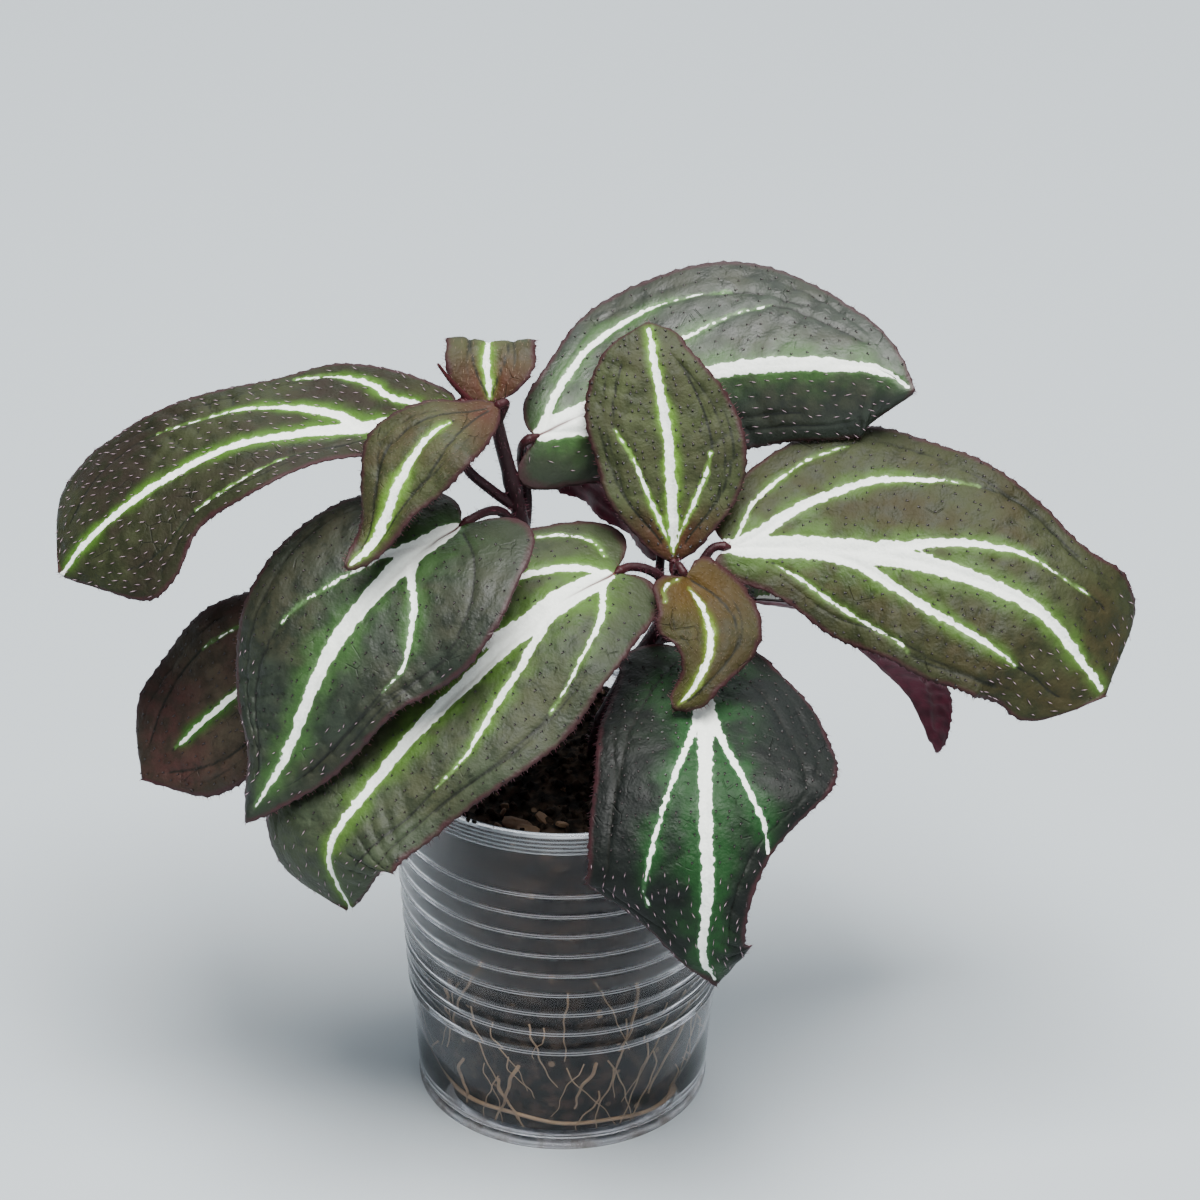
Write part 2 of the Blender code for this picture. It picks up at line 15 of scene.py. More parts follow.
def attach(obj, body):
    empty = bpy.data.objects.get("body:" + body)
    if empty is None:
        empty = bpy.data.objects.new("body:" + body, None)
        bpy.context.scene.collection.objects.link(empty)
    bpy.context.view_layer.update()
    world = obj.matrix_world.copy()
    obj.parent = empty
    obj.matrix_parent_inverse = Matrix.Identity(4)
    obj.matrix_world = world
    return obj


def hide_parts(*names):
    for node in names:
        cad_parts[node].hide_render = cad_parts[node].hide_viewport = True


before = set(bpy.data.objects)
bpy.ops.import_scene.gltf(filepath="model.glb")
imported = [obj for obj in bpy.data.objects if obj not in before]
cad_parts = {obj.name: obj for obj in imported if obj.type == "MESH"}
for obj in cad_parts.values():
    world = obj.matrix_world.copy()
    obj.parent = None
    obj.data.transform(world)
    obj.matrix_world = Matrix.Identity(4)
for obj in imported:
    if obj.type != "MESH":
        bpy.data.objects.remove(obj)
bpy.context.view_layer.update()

bl_info = {
    "name": "Potted Sonerila",
    "version": (1, 0, 0),
    "blender": (4, 5, 0),
    "location": "View3D > Sidebar > Sonerila",
    "description": "Builds a striped sonerila in a clear plastic cup",
    "category": "Object",
}

MM = 0.001

# The leaf's form, as in the part: half-widths at its ends, and shares of the midrib at
# which its lobes reach back and its half-widths are given
TIP_HALF_WIDTH = 0.4
BASE_HALF_WIDTH = 1.0
LOBE_AT = 0.04
WIDTH_AT = (0.0, LOBE_AT, 0.12, 0.25, 0.45, 0.65, 0.75, 0.85, 0.95, 1.0)

# The blade's relief: its grid, the ladder of cross veins and the line inside the edge
GRID_STEP = 0.6
TOOTH_ROWS = 4
LADDER_PITCH = 4.6
LADDER_DEPTH = 0.3
PUFF_DEPTH = 0.14
VEIN_DEPTH = 0.36
BORDER_INSET = 3.8
BORDER_DEPTH = 0.34
NARROW_HALF = 7
RIPPLE_HEIGHT = 0.12
SWELL_HEIGHT = 0.22
THIN_STRIPE = 0.12
FAR_AWAY = 30.0
UV_PER_MM = 0.01

# Hairs: a leaf with at least this many on a square centimetre is a young one, and where
# an old leaf faces up more than this, its bristles are short dark specks, and elsewhere pale
# bristles: a painted difference in light between two copies of one hair
YOUNG_HAIRS = 40
LEVEL_NORMAL = 0.42

# Each leaf: midrib, the way its upper face looks at the base, half-widths, rise, curl,
# lobes and edge wave of its form. Each stripe is a line of places along the leaf, across
# it from -1 to 1, and its white width in millimetres; it goes on as a dark vein at 0.
PLAIN_STRIPES = (
    ((0.02, 0, 1.5), (0.1, 0, 3.5), (0.4, 0, 2.6), (0.7, 0, 1.8), (0.95, 0, 0.6)),
    ((0.05, 0.04, 1.8), (0.15, 0.28, 1.5), (0.3, 0.5, 1), (0.45, 0.6, 0.3), (0.7, 0.62, 0),
     (0.9, 0.4, 0)),
    ((0.05, -0.04, 1.8), (0.15, -0.28, 1.5), (0.3, -0.5, 1), (0.45, -0.6, 0.3), (0.7, -0.62, 0),
     (0.9, -0.4, 0)),
)
LEAVES = {
    "leaf_left_long": dict(
        rib=((-21, 4, 153.5), (-39.5, 3, 147.5), (-63, 1, 145.5), (-82.5, -2, 136), (-94, -4, 126),
             (-98.3, -5, 120)),
        face=(0, 0, 1),
        left=(7, 9, 7, 16, 15, 20.5, 20, 9.5), right=(6, 15, 22, 21, 21.5, 23.5, 24.5, 16),
        left_tilt=(0, 0, -3, -28, -30), right_tilt=(20, 18, 15, 16, 14),
        left_curl=10, right_curl=15, lobes=(3, 1.5), wave=(0.8, 2.5, 0.0),
        skin="umber",
        stripes=(
            ((0, 0, 1.5), (0.1, -0.02, 3), (0.3, -0.08, 2.6), (0.45, -0.02, 1.9), (0.7, 0, 1.8),
             (0.9, 0.01, 1.5), (1, 0, 1)),
            ((0.14, -0.02, 2.4), (0.22, -0.1, 2.4), (0.27, -0.26, 2.2), (0.35, -0.4, 1.8),
             (0.45, -0.51, 1.2), (0.55, -0.58, 0.4), (0.75, -0.66, 0), (0.92, -0.4, 0)),
            ((0.05, -0.2, 1), (0.14, -0.45, 1.4), (0.19, -0.68, 1.3), (0.26, -0.8, 1),
             (0.36, -0.9, 0.3)),
            ((0.1, 0.1, 0), (0.25, 0.4, 0), (0.4, 0.55, 0.13), (0.5, 0.67, 0.16), (0.62, 0.73, 0.13),
             (0.85, 0.6, 0)),
        ),
    ),
    "leaf_left_young": dict(
        rib=((-14.5, 6, 152.8), (-15, 9.5, 158), (-15, 14, 161.5), (-15, 19, 158.5), (-15, 23, 151)),
        face=(0, -1, 0.3),
        left=(4, 6.5, 8, 8, 7.5, 6.5, 5, 2.5), right=(4, 7, 9, 9, 8.5, 7.5, 6, 3),
        left_tilt=(15, 15, 20), right_tilt=(15, 5, 5),
        left_curl=10, right_curl=10, lobes=(0, 0), wave=(0.6, 2, 0.3),
        skin="bronze",
        stripes=(
            ((0.05, 0, 0.6), (0.15, 0, 1.2), (0.3, 0.04, 1.3), (0.6, 0, 1), (0.95, 0, 0.3)),
            ((0.05, 0.1, 0), (0.3, 0.35, 0), (0.6, 0.5, 0), (0.9, 0.3, 0)),
            ((0.05, -0.1, 0), (0.3, -0.35, 0), (0.6, -0.5, 0), (0.9, -0.3, 0)),
        ),
    ),
    "leaf_left_folded": dict(
        rib=((-13, 1, 154.8), (-25, -8, 153.5), (-32, -15, 145), (-37, -20, 135.5), (-41.5, -23, 132)),
        face=(-0.2, -0.5, 0.85),
        left=(3.5, 6.5, 9.5, 9.5, 6, 4.5, 3, 1.5), right=(3, 4, 7.5, 11.5, 7.5, 5.5, 4, 2),
        left_tilt=(5, 5, 0), right_tilt=(5, 5, 0),
        left_curl=20, right_curl=20, lobes=(0, 0), wave=(0.6, 2.5, 0.1),
        skin="bronze",
        stripes=(
            ((0.22, 0, 0), (0.3, 0, 0.9), (0.4, -0.02, 1.4), (0.55, -0.03, 1.8), (0.7, 0.05, 2),
             (0.85, 0.08, 1.6), (0.97, 0.03, 0.8)),
            ((0.05, 0.1, 0), (0.3, 0.4, 0), (0.6, 0.5, 0), (0.9, 0.3, 0)),
            ((0.05, -0.1, 0), (0.3, -0.4, 0), (0.6, -0.55, 0), (0.9, -0.3, 0)),
        ),
    ),
    "leaf_front_left": dict(
        rib=((-19.5, -5, 132), (-29.5, -13, 128.5), (-44, -24, 115.5), (-53.5, -32, 95.5),
             (-61.5, -34, 81.5)),
        face=(-0.2, -0.4, 0.9),
        left=(13, 22, 25.5, 21, 15, 11, 7, 3), right=(9, 17, 23, 23, 19, 14.5, 8, 4),
        left_tilt=(32, 5, 0, 0, 0), right_tilt=(15, 15, 15, 12, 10),
        left_curl=25, right_curl=25, lobes=(10, 5), wave=(0.8, 3, 0.2),
        skin="slate",
        seam=0.16,
        stripes=(
            ((0.03, 0, 3), (0.08, 0, 4.8), (0.2, 0, 4.8), (0.3, 0, 3.7), (0.45, 0, 3.3),
             (0.6, 0, 2.7), (0.75, 0, 2.1), (0.87, 0.03, 1.2), (0.95, 0.05, 0.3)),
            ((0.1, 0.02, 3), (0.18, 0.06, 2.4), (0.22, 0.17, 1.7), (0.27, 0.34, 1.5),
             (0.33, 0.48, 1.2), (0.4, 0.63, 0.8), (0.46, 0.7, 0.3), (0.6, 0.72, 0), (0.8, 0.6, 0)),
            ((0.08, -0.04, 2.5), (0.15, -0.1, 2), (0.22, -0.2, 1.4), (0.3, -0.28, 0.8),
             (0.39, -0.4, 0.4), (0.43, -0.47, 0.35), (0.55, -0.6, 0), (0.7, -0.66, 0), (0.88, -0.5, 0)),
            ((0.04, 0.25, 0), (0.12, 0.6, 0), (0.25, 0.78, 0), (0.45, 0.85, 0), (0.7, 0.85, 0)),
        ),
    ),
    "leaf_front": dict(
        rib=((11, -6, 122.3), (0.5, -14, 120.5), (-18, -25, 108.5), (-35, -36, 93.5),
             (-45, -43, 80.5), (-41, -43, 67.5)),
        face=(-0.2, -0.4, 0.9),
        left=(9, 16, 20.5, 22, 17, 15.5, 14.5, 6.5), right=(11, 19, 24, 26, 25, 22.5, 18, 11.5),
        left_tilt=(0, 0, 0), right_tilt=(15, 15, 10),
        left_curl=25, right_curl=25, lobes=(7, 10), wave=(0.9, 3, 0.5),
        skin="moss",
        seam=0.16,
        stripes=(
            ((0.03, 0, 2.5), (0.08, 0, 4.4), (0.16, 0, 5.4), (0.25, 0, 4.6), (0.34, 0, 3.4),
             (0.5, 0, 3), (0.65, 0, 2.3), (0.8, 0.02, 1.7), (0.93, 0, 1.1), (1, 0, 0.6)),
            ((0.03, -0.1, 1.6), (0.07, -0.26, 1.8), (0.13, -0.38, 1.7), (0.22, -0.47, 1.5),
             (0.32, -0.52, 0.8), (0.5, -0.6, 0), (0.8, -0.55, 0)),
            ((0.2, -0.03, 3), (0.3, -0.1, 2.4), (0.4, -0.25, 1.6), (0.52, -0.4, 0.8), (0.65, -0.48, 0)),
            ((0.03, -0.5, 0.3), (0.05, -0.7, 0.6), (0.1, -0.84, 0.6), (0.15, -0.88, 0.2)),
            ((0.12, 0.02, 3.4), (0.2, 0.09, 2.4), (0.25, 0.18, 1.8), (0.31, 0.27, 1.6),
             (0.41, 0.38, 1.3), (0.49, 0.5, 0.9), (0.55, 0.57, 0.3), (0.7, 0.62, 0), (0.87, 0.5, 0)),
            ((0.03, 0.03, 1.5), (0.06, 0.14, 1.5), (0.1, 0.4, 1.4), (0.14, 0.54, 1.1),
             (0.22, 0.67, 0.7), (0.27, 0.72, 0.35), (0.4, 0.78, 0), (0.65, 0.8, 0)),
        ),
    ),
    "leaf_low_left": dict(
        rib=((-40, 1, 110), (-52, -2, 104), (-65, -5, 94), (-76, -7, 83.5), (-84, -8, 75)),
        face=(-0.2, -0.4, 0.9),
        left=(7, 10, 14, 17.5, 17.5, 15.5, 12, 4.5), right=(7, 10, 15, 19, 19, 17, 14, 6.5),
        left_tilt=(0, 0, -5), right_tilt=(15, 15, 15),
        left_curl=20, right_curl=20, lobes=(4, 4), wave=(0.8, 2.5, 0.4),
        skin="plum",
        stripes=(
            ((0, 0, 1.5), (0.3, 0.02, 2), (0.53, 0.04, 1.7), (0.7, 0.04, 1.4), (0.79, 0.04, 0.9),
             (0.84, 0.03, 0)),
            *PLAIN_STRIPES[1:],
        ),
    ),
    "leaf_back_tall": dict(
        rib=((-6, 9.5, 143.5), (5, 14, 147), (30, 20, 153), (52, 20, 154.5), (64, 18.5, 153),
             (68.5, 16.5, 150.5)),
        face=(0, -0.3, 0.95),
        left=(7, 13, 22, 25, 23.5, 18.5, 12, 3), right=(8, 13, 17, 17, 17.2, 17, 15, 11),
        left_tilt=(15, 15, 10), right_tilt=(-35, -45, -40),
        left_curl=15, right_curl=40, lobes=(2, 8.8), wave=(0.9, 2.5, 0.7),
        skin="mist",
        seam=0.17,
        stripes=(
            ((0.02, 0, 3), (0.07, 0, 5), (0.14, 0, 4.6), (0.3, 0, 2.8), (0.5, 0, 2.9),
             (0.76, 0, 2.7), (0.88, 0.02, 2), (0.98, 0.03, 1)),
            ((0.02, 0.02, 3), (0.05, 0.24, 2.2), (0.1, 0.52, 1.7), (0.18, 0.64, 1.6),
             (0.25, 0.66, 1.5), (0.37, 0.71, 1), (0.43, 0.72, 0.3), (0.7, 0.66, 0)),
            ((0.2, 0.1, 0), (0.32, 0.24, 0), (0.42, 0.34, 0.9), (0.48, 0.4, 0.7), (0.55, 0.48, 0.2),
             (0.61, 0.54, 0.4), (0.66, 0.58, 0), (0.85, 0.5, 0)),
            ((0.04, -0.05, 3), (0.1, -0.2, 2), (0.17, -0.35, 0.6), (0.35, -0.55, 0), (0.7, -0.6, 0)),
        ),
    ),
    "leaf_right_young": dict(
        rib=((21.5, -1.5, 122), (21, 3, 135.5), (20, 8, 146), (18, 14, 156), (16, 21, 163)),
        face=(0, -0.9, 0.4),
        left=(4, 7.5, 12, 14.5, 15.5, 14.5, 12, 7), right=(4, 7.5, 12.5, 15, 12.5, 10, 7, 4.5),
        left_tilt=(15, 5, 0), right_tilt=(15, 5, 0),
        left_curl=15, right_curl=15, lobes=(0, 0), wave=(0.5, 3, 0.2),
        skin="sage",
        stripes=(
            ((0.04, 0, 0.3), (0.1, 0, 1.4), (0.2, 0, 1.9), (0.47, 0, 2), (0.79, 0.02, 1.5),
             (0.97, 0, 1)),
            ((0.07, 0.1, 0), (0.12, 0.22, 0.5), (0.27, 0.36, 0.7), (0.42, 0.48, 0.5),
             (0.5, 0.57, 0.25), (0.55, 0.63, 0.3), (0.62, 0.66, 0), (0.85, 0.55, 0)),
            ((0.07, -0.09, 0), (0.12, -0.19, 0.45), (0.3, -0.41, 0.7), (0.4, -0.5, 0.3),
             (0.5, -0.56, 0), (0.8, -0.55, 0)),
            ((0.08, 0.4, 0), (0.2, 0.66, 0), (0.4, 0.82, 0), (0.6, 0.86, 0)),
            ((0.08, -0.4, 0), (0.2, -0.66, 0), (0.4, -0.82, 0), (0.6, -0.86, 0)),
        ),
    ),
    "leaf_right_big": dict(
        rib=((31.5, 0, 124.5), (50, 0, 124), (73.5, -6, 123.5), (92, -11.5, 117.5),
             (106.3, -15, 100.3)),
        face=(0, -0.64, 0.77),
        left=(9, 20, 27.5, 26, 21, 17.5, 19.5, 13), right=(5, 9, 16, 20.5, 21.5, 21, 18, 13),
        left_tilt=(5, 3, 0), right_tilt=(0, 0, -5),
        left_curl=20, right_curl=20, lobes=(5, 4.5), wave=(1, 3.5, 0.1),
        skin="olive",
        stripes=(
            ((0, 0, 2.5), (0.06, 0, 4.2), (0.17, 0.01, 4.6), (0.34, 0.01, 4.6), (0.46, 0, 3.7),
             (0.57, 0, 2.9), (0.73, 0, 2.3), (0.88, 0, 1.9), (0.98, 0, 1.1)),
            ((0.32, 0.03, 3.2), (0.41, 0.1, 2.2), (0.5, 0.22, 1.8), (0.59, 0.33, 1.3),
             (0.68, 0.45, 0.7), (0.75, 0.5, 0.3), (0.85, 0.55, 0)),
            ((0.17, -0.02, 3.2), (0.25, -0.06, 2.9), (0.32, -0.15, 2.4), (0.41, -0.3, 1.9),
             (0.5, -0.41, 1.6), (0.65, -0.5, 1.2), (0.77, -0.54, 0.5), (0.81, -0.55, 0),
             (0.93, -0.5, 0)),
            ((0, 0.03, 2.8), (0.045, 0.1, 3), (0.09, 0.2, 2.5), (0.14, 0.31, 2.2), (0.22, 0.43, 1.9),
             (0.32, 0.56, 1.5), (0.42, 0.67, 1), (0.48, 0.74, 0.25), (0.63, 0.86, 0), (0.75, 0.84, 0)),
            ((0.02, 0.18, 0.6), (0.045, 0.38, 0.8), (0.08, 0.6, 0.9), (0.15, 0.72, 0.7),
             (0.2, 0.79, 0.45), (0.25, 0.83, 0.3)),
            ((0.11, -0.36, 0), (0.15, -0.46, 0.6), (0.24, -0.6, 0.7), (0.36, -0.74, 0.6),
             (0.46, -0.82, 0.4), (0.52, -0.87, 0), (0.8, -0.85, 0)),
        ),
    ),
    "leaf_right_folded": dict(
        rib=((23.5, -8.5, 123), (27.2, -12.8, 118.4), (28.5, -19, 114), (26, -24.5, 108.5),
             (21.5, -27, 103.5)),
        face=(0, -0.6, 0.8),
        left=(5, 7.5, 9.5, 10, 6, 4.5, 4, 2), right=(6, 8.5, 10, 10, 5, 3.5, 3, 2),
        left_tilt=(5, 5, 0), right_tilt=(26, 20, 0),
        left_curl=20, right_curl=20, lobes=(2.5, 2.8), wave=(0.5, 2.5, 0.0),
        skin="gold",
        stripes=(
            ((0.1, -0.1, 0.5), (0.2, -0.05, 1.1), (0.35, -0.02, 1.2), (0.5, 0.01, 1.4),
             (0.7, 0.02, 1.3), (0.86, 0.04, 0.8), (0.95, 0.04, 0.3)),
            ((0.02, -0.5, 0.5), (0.06, -0.75, 0.5), (0.12, -0.8, 0.3)),
            ((0.05, 0.1, 0), (0.3, 0.45, 0), (0.6, 0.55, 0), (0.9, 0.3, 0)),
        ),
    ),
    "leaf_front_low": dict(
        rib=((25.5, -4, 103), (27.5, -22, 101), (27.5, -44, 94), (28, -54, 79.5), (27.5, -56, 64),
             (30.5, -53, 57.5)),
        face=(0, -0.5, 0.85),
        left=(11, 17.5, 24, 25, 12, 8.5, 8.5, 8), right=(11, 16, 20, 21.5, 23, 22.5, 9, 1.5),
        left_tilt=(0, 0, 0), right_tilt=(14, 8, 0),
        left_curl=25, right_curl=25, lobes=(6, 6), wave=(0.9, 3, 0.6),
        skin="ink",
        stripes=(
            ((0.03, 0, 2.5), (0.12, 0, 4.5), (0.22, 0, 4.2), (0.3, 0, 3.2), (0.45, 0, 2.8),
             (0.63, 0, 2.5), (0.8, 0.02, 2), (0.92, 0.03, 1.3), (0.98, 0, 0.5)),
            ((0.2, -0.03, 2.5), (0.3, -0.11, 1.6), (0.42, -0.24, 1.2), (0.51, -0.35, 1),
             (0.62, -0.46, 0.9), (0.68, -0.5, 0.35), (0.84, -0.56, 0)),
            ((0.2, 0.02, 2.5), (0.31, 0.1, 1.7), (0.42, 0.24, 1.3), (0.51, 0.43, 1.1),
             (0.58, 0.7, 0.9), (0.63, 0.92, 0.6)),
            ((0.05, 0.3, 0), (0.15, 0.55, 0), (0.3, 0.66, 0), (0.45, 0.8, 0)),
            ((0.05, -0.3, 0), (0.15, -0.55, 0), (0.3, -0.7, 0), (0.5, -0.8, 0), (0.7, -0.85, 0)),
        ),
    ),
    "leaf_back_right": dict(
        rib=((37.5, 8, 108), (49.5, 20, 98.5), (62.5, 32, 81.5), (73, 38, 66), (78, 40, 53)),
        face=(0.6, 0.55, 0.5),
        left=(6, 9, 11, 11, 9, 7.5, 5.5, 3), right=(6, 9, 12, 12.5, 12, 10.5, 8, 4),
        left_tilt=(40, 60, 60), right_tilt=(30, 30, 30),
        left_curl=20, right_curl=20, lobes=(4, 4), wave=(0.8, 3, 0.3),
        skin="moss",
        stripes=PLAIN_STRIPES,
    ),
    "leaf_back": dict(
        rib=((18, 4.5, 122.5), (13, 14, 125.3), (5.5, 20.5, 129), (-2, 26, 130.5), (-8, 31, 129)),
        face=(0.3, 0.9, 0.2),
        left=(3.5, 4, 5, 7, 7, 6, 4, 2), right=(3, 4.5, 6, 7, 7.5, 7, 5, 2.5),
        left_tilt=(0, 0, 0), right_tilt=(0, 0, 0),
        left_curl=20, right_curl=20, lobes=(3, 3), wave=(0.8, 3, 0.8),
        skin="plum",
        stripes=PLAIN_STRIPES,
    ),
}

# The upper skins: two panel colours, the colour towards the base, the glow beside the
# white, how far the glow reaches, and how many hairs stand on each square centimetre.
SKINS = {
    "slate": dict(panel=(0.02, 0.028, 0.018), other=(0.026, 0.027, 0.014), base=(0.022, 0.031, 0.014),
                  glow=(0.03, 0.075, 0.018), reach=1.8, hairs=12, fur="mixed", gloss=0.3),
    # Painted sheen: the next skin is slate made a little lighter, standing in for the sheen that its leaf's
    # upturned top catches from above.
    "mist": dict(panel=(0.024, 0.032, 0.023), other=(0.027, 0.03, 0.018), base=(0.026, 0.035, 0.016),
                 glow=(0.032, 0.08, 0.018), reach=1.8, hairs=12, fur="mixed", gloss=0.36),
    # Partly painted shade: the next skin is a near-black copy of slate, partly the leaf's own dark tone and
    # partly the shade on its hanging sides.
    "ink": dict(panel=(0.004, 0.006, 0.005), other=(0.006, 0.009, 0.006), base=(0.006, 0.009, 0.005),
                glow=(0.008, 0.045, 0.009), reach=2.6, hairs=16, fur="mixed", gloss=0.22),
    "moss": dict(panel=(0.038, 0.051, 0.027), other=(0.04, 0.045, 0.021), base=(0.036, 0.047, 0.018),
                 glow=(0.055, 0.115, 0.018), reach=1.4, hairs=12, fur="mixed", gloss=0.22),
    "umber": dict(panel=(0.027, 0.032, 0.012), other=(0.018, 0.013, 0.008), base=(0.033, 0.034, 0.011),
                  glow=(0.045, 0.11, 0.01), reach=1.0, hairs=15, fur="bristle", gloss=0.2),
    "olive": dict(panel=(0.033, 0.039, 0.014), other=(0.031, 0.026, 0.009), base=(0.033, 0.036, 0.011),
                  glow=(0.05, 0.1, 0.016), reach=1.2, hairs=14, fur="mixed", gloss=0.2),
    "plum": dict(panel=(0.045, 0.035, 0.022), other=(0.044, 0.018, 0.015), base=(0.03, 0.014, 0.011),
                 glow=(0.025, 0.08, 0.01), reach=1.0, hairs=14, fur="speck", gloss=0.22),
    "sage": dict(panel=(0.05, 0.062, 0.024), other=(0.034, 0.036, 0.015), base=(0.062, 0.014, 0.008),
                 glow=(0.08, 0.17, 0.018), reach=0.7, hairs=26, fur="speck", gloss=0.2),
    "bronze": dict(panel=(0.046, 0.053, 0.02), other=(0.042, 0.03, 0.014), base=(0.058, 0.013, 0.008),
                   glow=(0.08, 0.17, 0.018), reach=0.8, hairs=60, fur="silk", gloss=0.2),
    "gold": dict(panel=(0.045, 0.042, 0.012), other=(0.038, 0.027, 0.01), base=(0.062, 0.034, 0.006),
                 glow=(0.08, 0.13, 0.012), reach=0.6, hairs=90, fur="silk", gloss=0.15),
}
# Each kind of hair: its share of the hair length and its half-width in millimetres
FURS = {"speck": (0.5, 0.15), "bristle": (1.2, 0.075), "silk": (1.0, 0.045)}

# The cup: the heights of its foot and of the step in its wall below the ribs, and the
# height from ridge to ridge of its rim
FOOT_HEIGHT = 3.5
STEP_HEIGHT = 19.5
RIDGE_PITCH = 0.92

# The soil: its clearance from the wall above the roots and beside them, how far out its
# crumbs lie, how many of them lie on the rim, and the number of bark chips
SOIL_CLEARANCE = 0.4
ROOT_CLEARANCE = 1.84
CRUMB_REACH = 31.6
RIM_CRUMBS = 9
CHIPS = 22

# Stems: the height at which they start inside the soil, the shares of a stem at which it
# thickens, the grain of its bark, and its hairs, which stand above a height
STEM_FOOT = 62.0
STEM_KNOTS = (0.35, 0.62, 0.82)
STEM_VOXEL = 0.26
STEM_HAIRS = 1500
HAIRS_ABOVE = 76.0

# A petiole aims at this distance before its blade and ends at this share of the midrib
PETIOLE_END = 1.8
INTO_BLADE = 0.015

# Each shoot: its stem, then the way of each petiole from the stem to its leaf
SHOOTS = {
    "stem_left": dict(
        stem=((-5, 7, STEM_FOOT), (-5, 7, 80), (-6.5, 7.5, 105), (-9, 7.5, 128), (-12.5, 5.5, 145),
              (-13.5, 4.5, 150.5)),
        petioles={
            "leaf_left_long": ((-9.5, 7.2, 129), (-14.5, 5.8, 133.8), (-19.4, 4.6, 139.8),
                               (-19.2, 4.2, 148.5)),
            "leaf_left_young": ((-13.5, 4.5, 149.5), (-14, 5.2, 151)),
            "leaf_left_folded": ((-13.5, 4.4, 149), (-12.2, 3.4, 152.2)),
            "leaf_front_left": ((-9, 7.3, 123), (-12.8, 3, 130.5)),
            "leaf_low_left": ((-6.5, 7.5, 104), (-18, 6, 112), (-31, 3.5, 113)),
            "leaf_back_tall": ((-8.2, 7.8, 120), (-7.4, 9.6, 130), (-8.6, 11, 138.5)),
        },
        bract=((-13.8, 4.6, 149.8), (-18.3, 4.2, 154.2), (-22, 4, 158.5), (-24.6, 4.2, 162.3)),
    ),
    "stem_right": dict(
        stem=((7, 3, STEM_FOOT), (7, 3, 78), (12, 2.5, 92), (18.5, -0.5, 106), (21.5, -3, 115),
              (22.2, -3.6, 119)),
        petioles={
            "leaf_right_young": ((22, -3.5, 118), (21.8, -2.6, 120)),
            "leaf_right_folded": ((22.3, -3.8, 117.5), (22.3, -4.5, 121.3)),
            "leaf_front": ((21, -2.8, 114), (18.5, -3.2, 119.8)),
            "leaf_right_big": ((21.5, -3, 114.5), (26.5, -1.5, 121)),
            "leaf_front_low": ((17.5, 0, 103), (22, 0.2, 103.8)),
            "leaf_back_right": ((14, 2, 96), (25, 4.5, 106)),
            "leaf_back": ((20, -1.5, 111), (18.8, 0.5, 118.5)),
        },
        bract=None,
    ),
}

# The stage: soft lights in metres and watts, and the point that the camera looks at in
# millimetres
WARM_WHITE = (1.0, 0.99, 0.97)
COOL_WHITE = (0.93, 0.97, 1.0)
LIGHTS = {
    "key": dict(place=(0.1, -0.35, 1.7), size=(1.1, 1.1), power=84, colour=WARM_WHITE),
    "fill": dict(place=(1.3, -0.9, 0.9), size=(0.8, 1.2), power=4, colour=COOL_WHITE),
    "back": dict(place=(0.2, 1.5, 1.1), size=(2.0, 1.0), power=14, colour=COOL_WHITE),
}
LIGHT_AIM = (0, 0, 0.1)
SKY_COLOUR = (0.8, 0.91, 1.0, 1)
SKY_STRENGTH = 0.36
CAMERA_AIM = (7.1, 0, 112.3)


def smooth(knots, values, at):
    """A smooth curve through values at knots, read at each place in at."""
    knots = np.asarray(knots, float)
    values = np.asarray(values, float)
    slopes = np.gradient(values, knots, axis=0)
    i = np.clip(np.searchsorted(knots, at, side="right") - 1, 0, len(knots) - 2)
    step = knots[i + 1] - knots[i]
    u = (at - knots[i]) / step
    if values.ndim > 1:
        u = u[:, None]
        step = step[:, None]
    start = (1 + 2 * u) * (1 - u) ** 2 * values[i] + u * (1 - u) ** 2 * step * slopes[i]
    end = u * u * (3 - 2 * u) * values[i + 1] + u * u * (u - 1) * step * slopes[i + 1]
    return start + end


def along_curve(points, places):
    """Points, directions and whole length of a smooth curve, at shares of its length."""
    points = np.asarray(points, float)
    chord = np.concatenate([[0], np.cumsum(np.linalg.norm(np.diff(points, axis=0), axis=1))])
    fine = smooth(chord, points, np.linspace(0, chord[-1], 241))
    length = np.concatenate([[0], np.cumsum(np.linalg.norm(np.diff(fine, axis=0), axis=1))])
    turn = np.gradient(fine, length, axis=0)
    at = np.asarray(places, float) * length[-1]
    spots = np.stack([np.interp(at, length, fine[:, k]) for k in range(3)], -1)
    heads = np.stack([np.interp(at, length, turn[:, k]) for k in range(3)], -1)
    return spots, heads / np.linalg.norm(heads, axis=1)[:, None], length[-1]


def carry_face(heads, face):
    """The upper side's direction, carried along the midrib without twist."""
    facing = np.array(face, float)
    carried = []
    for head in heads:
        facing = facing - (facing @ head) * head
        facing = facing / np.linalg.norm(facing)
        carried.append(facing)
    return np.array(carried)


def half_width(leaf, side, rows):
    """The half-width of one half-blade at each row, in millimetres."""
    width = smooth(WIDTH_AT, (BASE_HALF_WIDTH, *leaf[side], TIP_HALF_WIDTH), rows)
    return np.maximum(width, TIP_HALF_WIDTH)


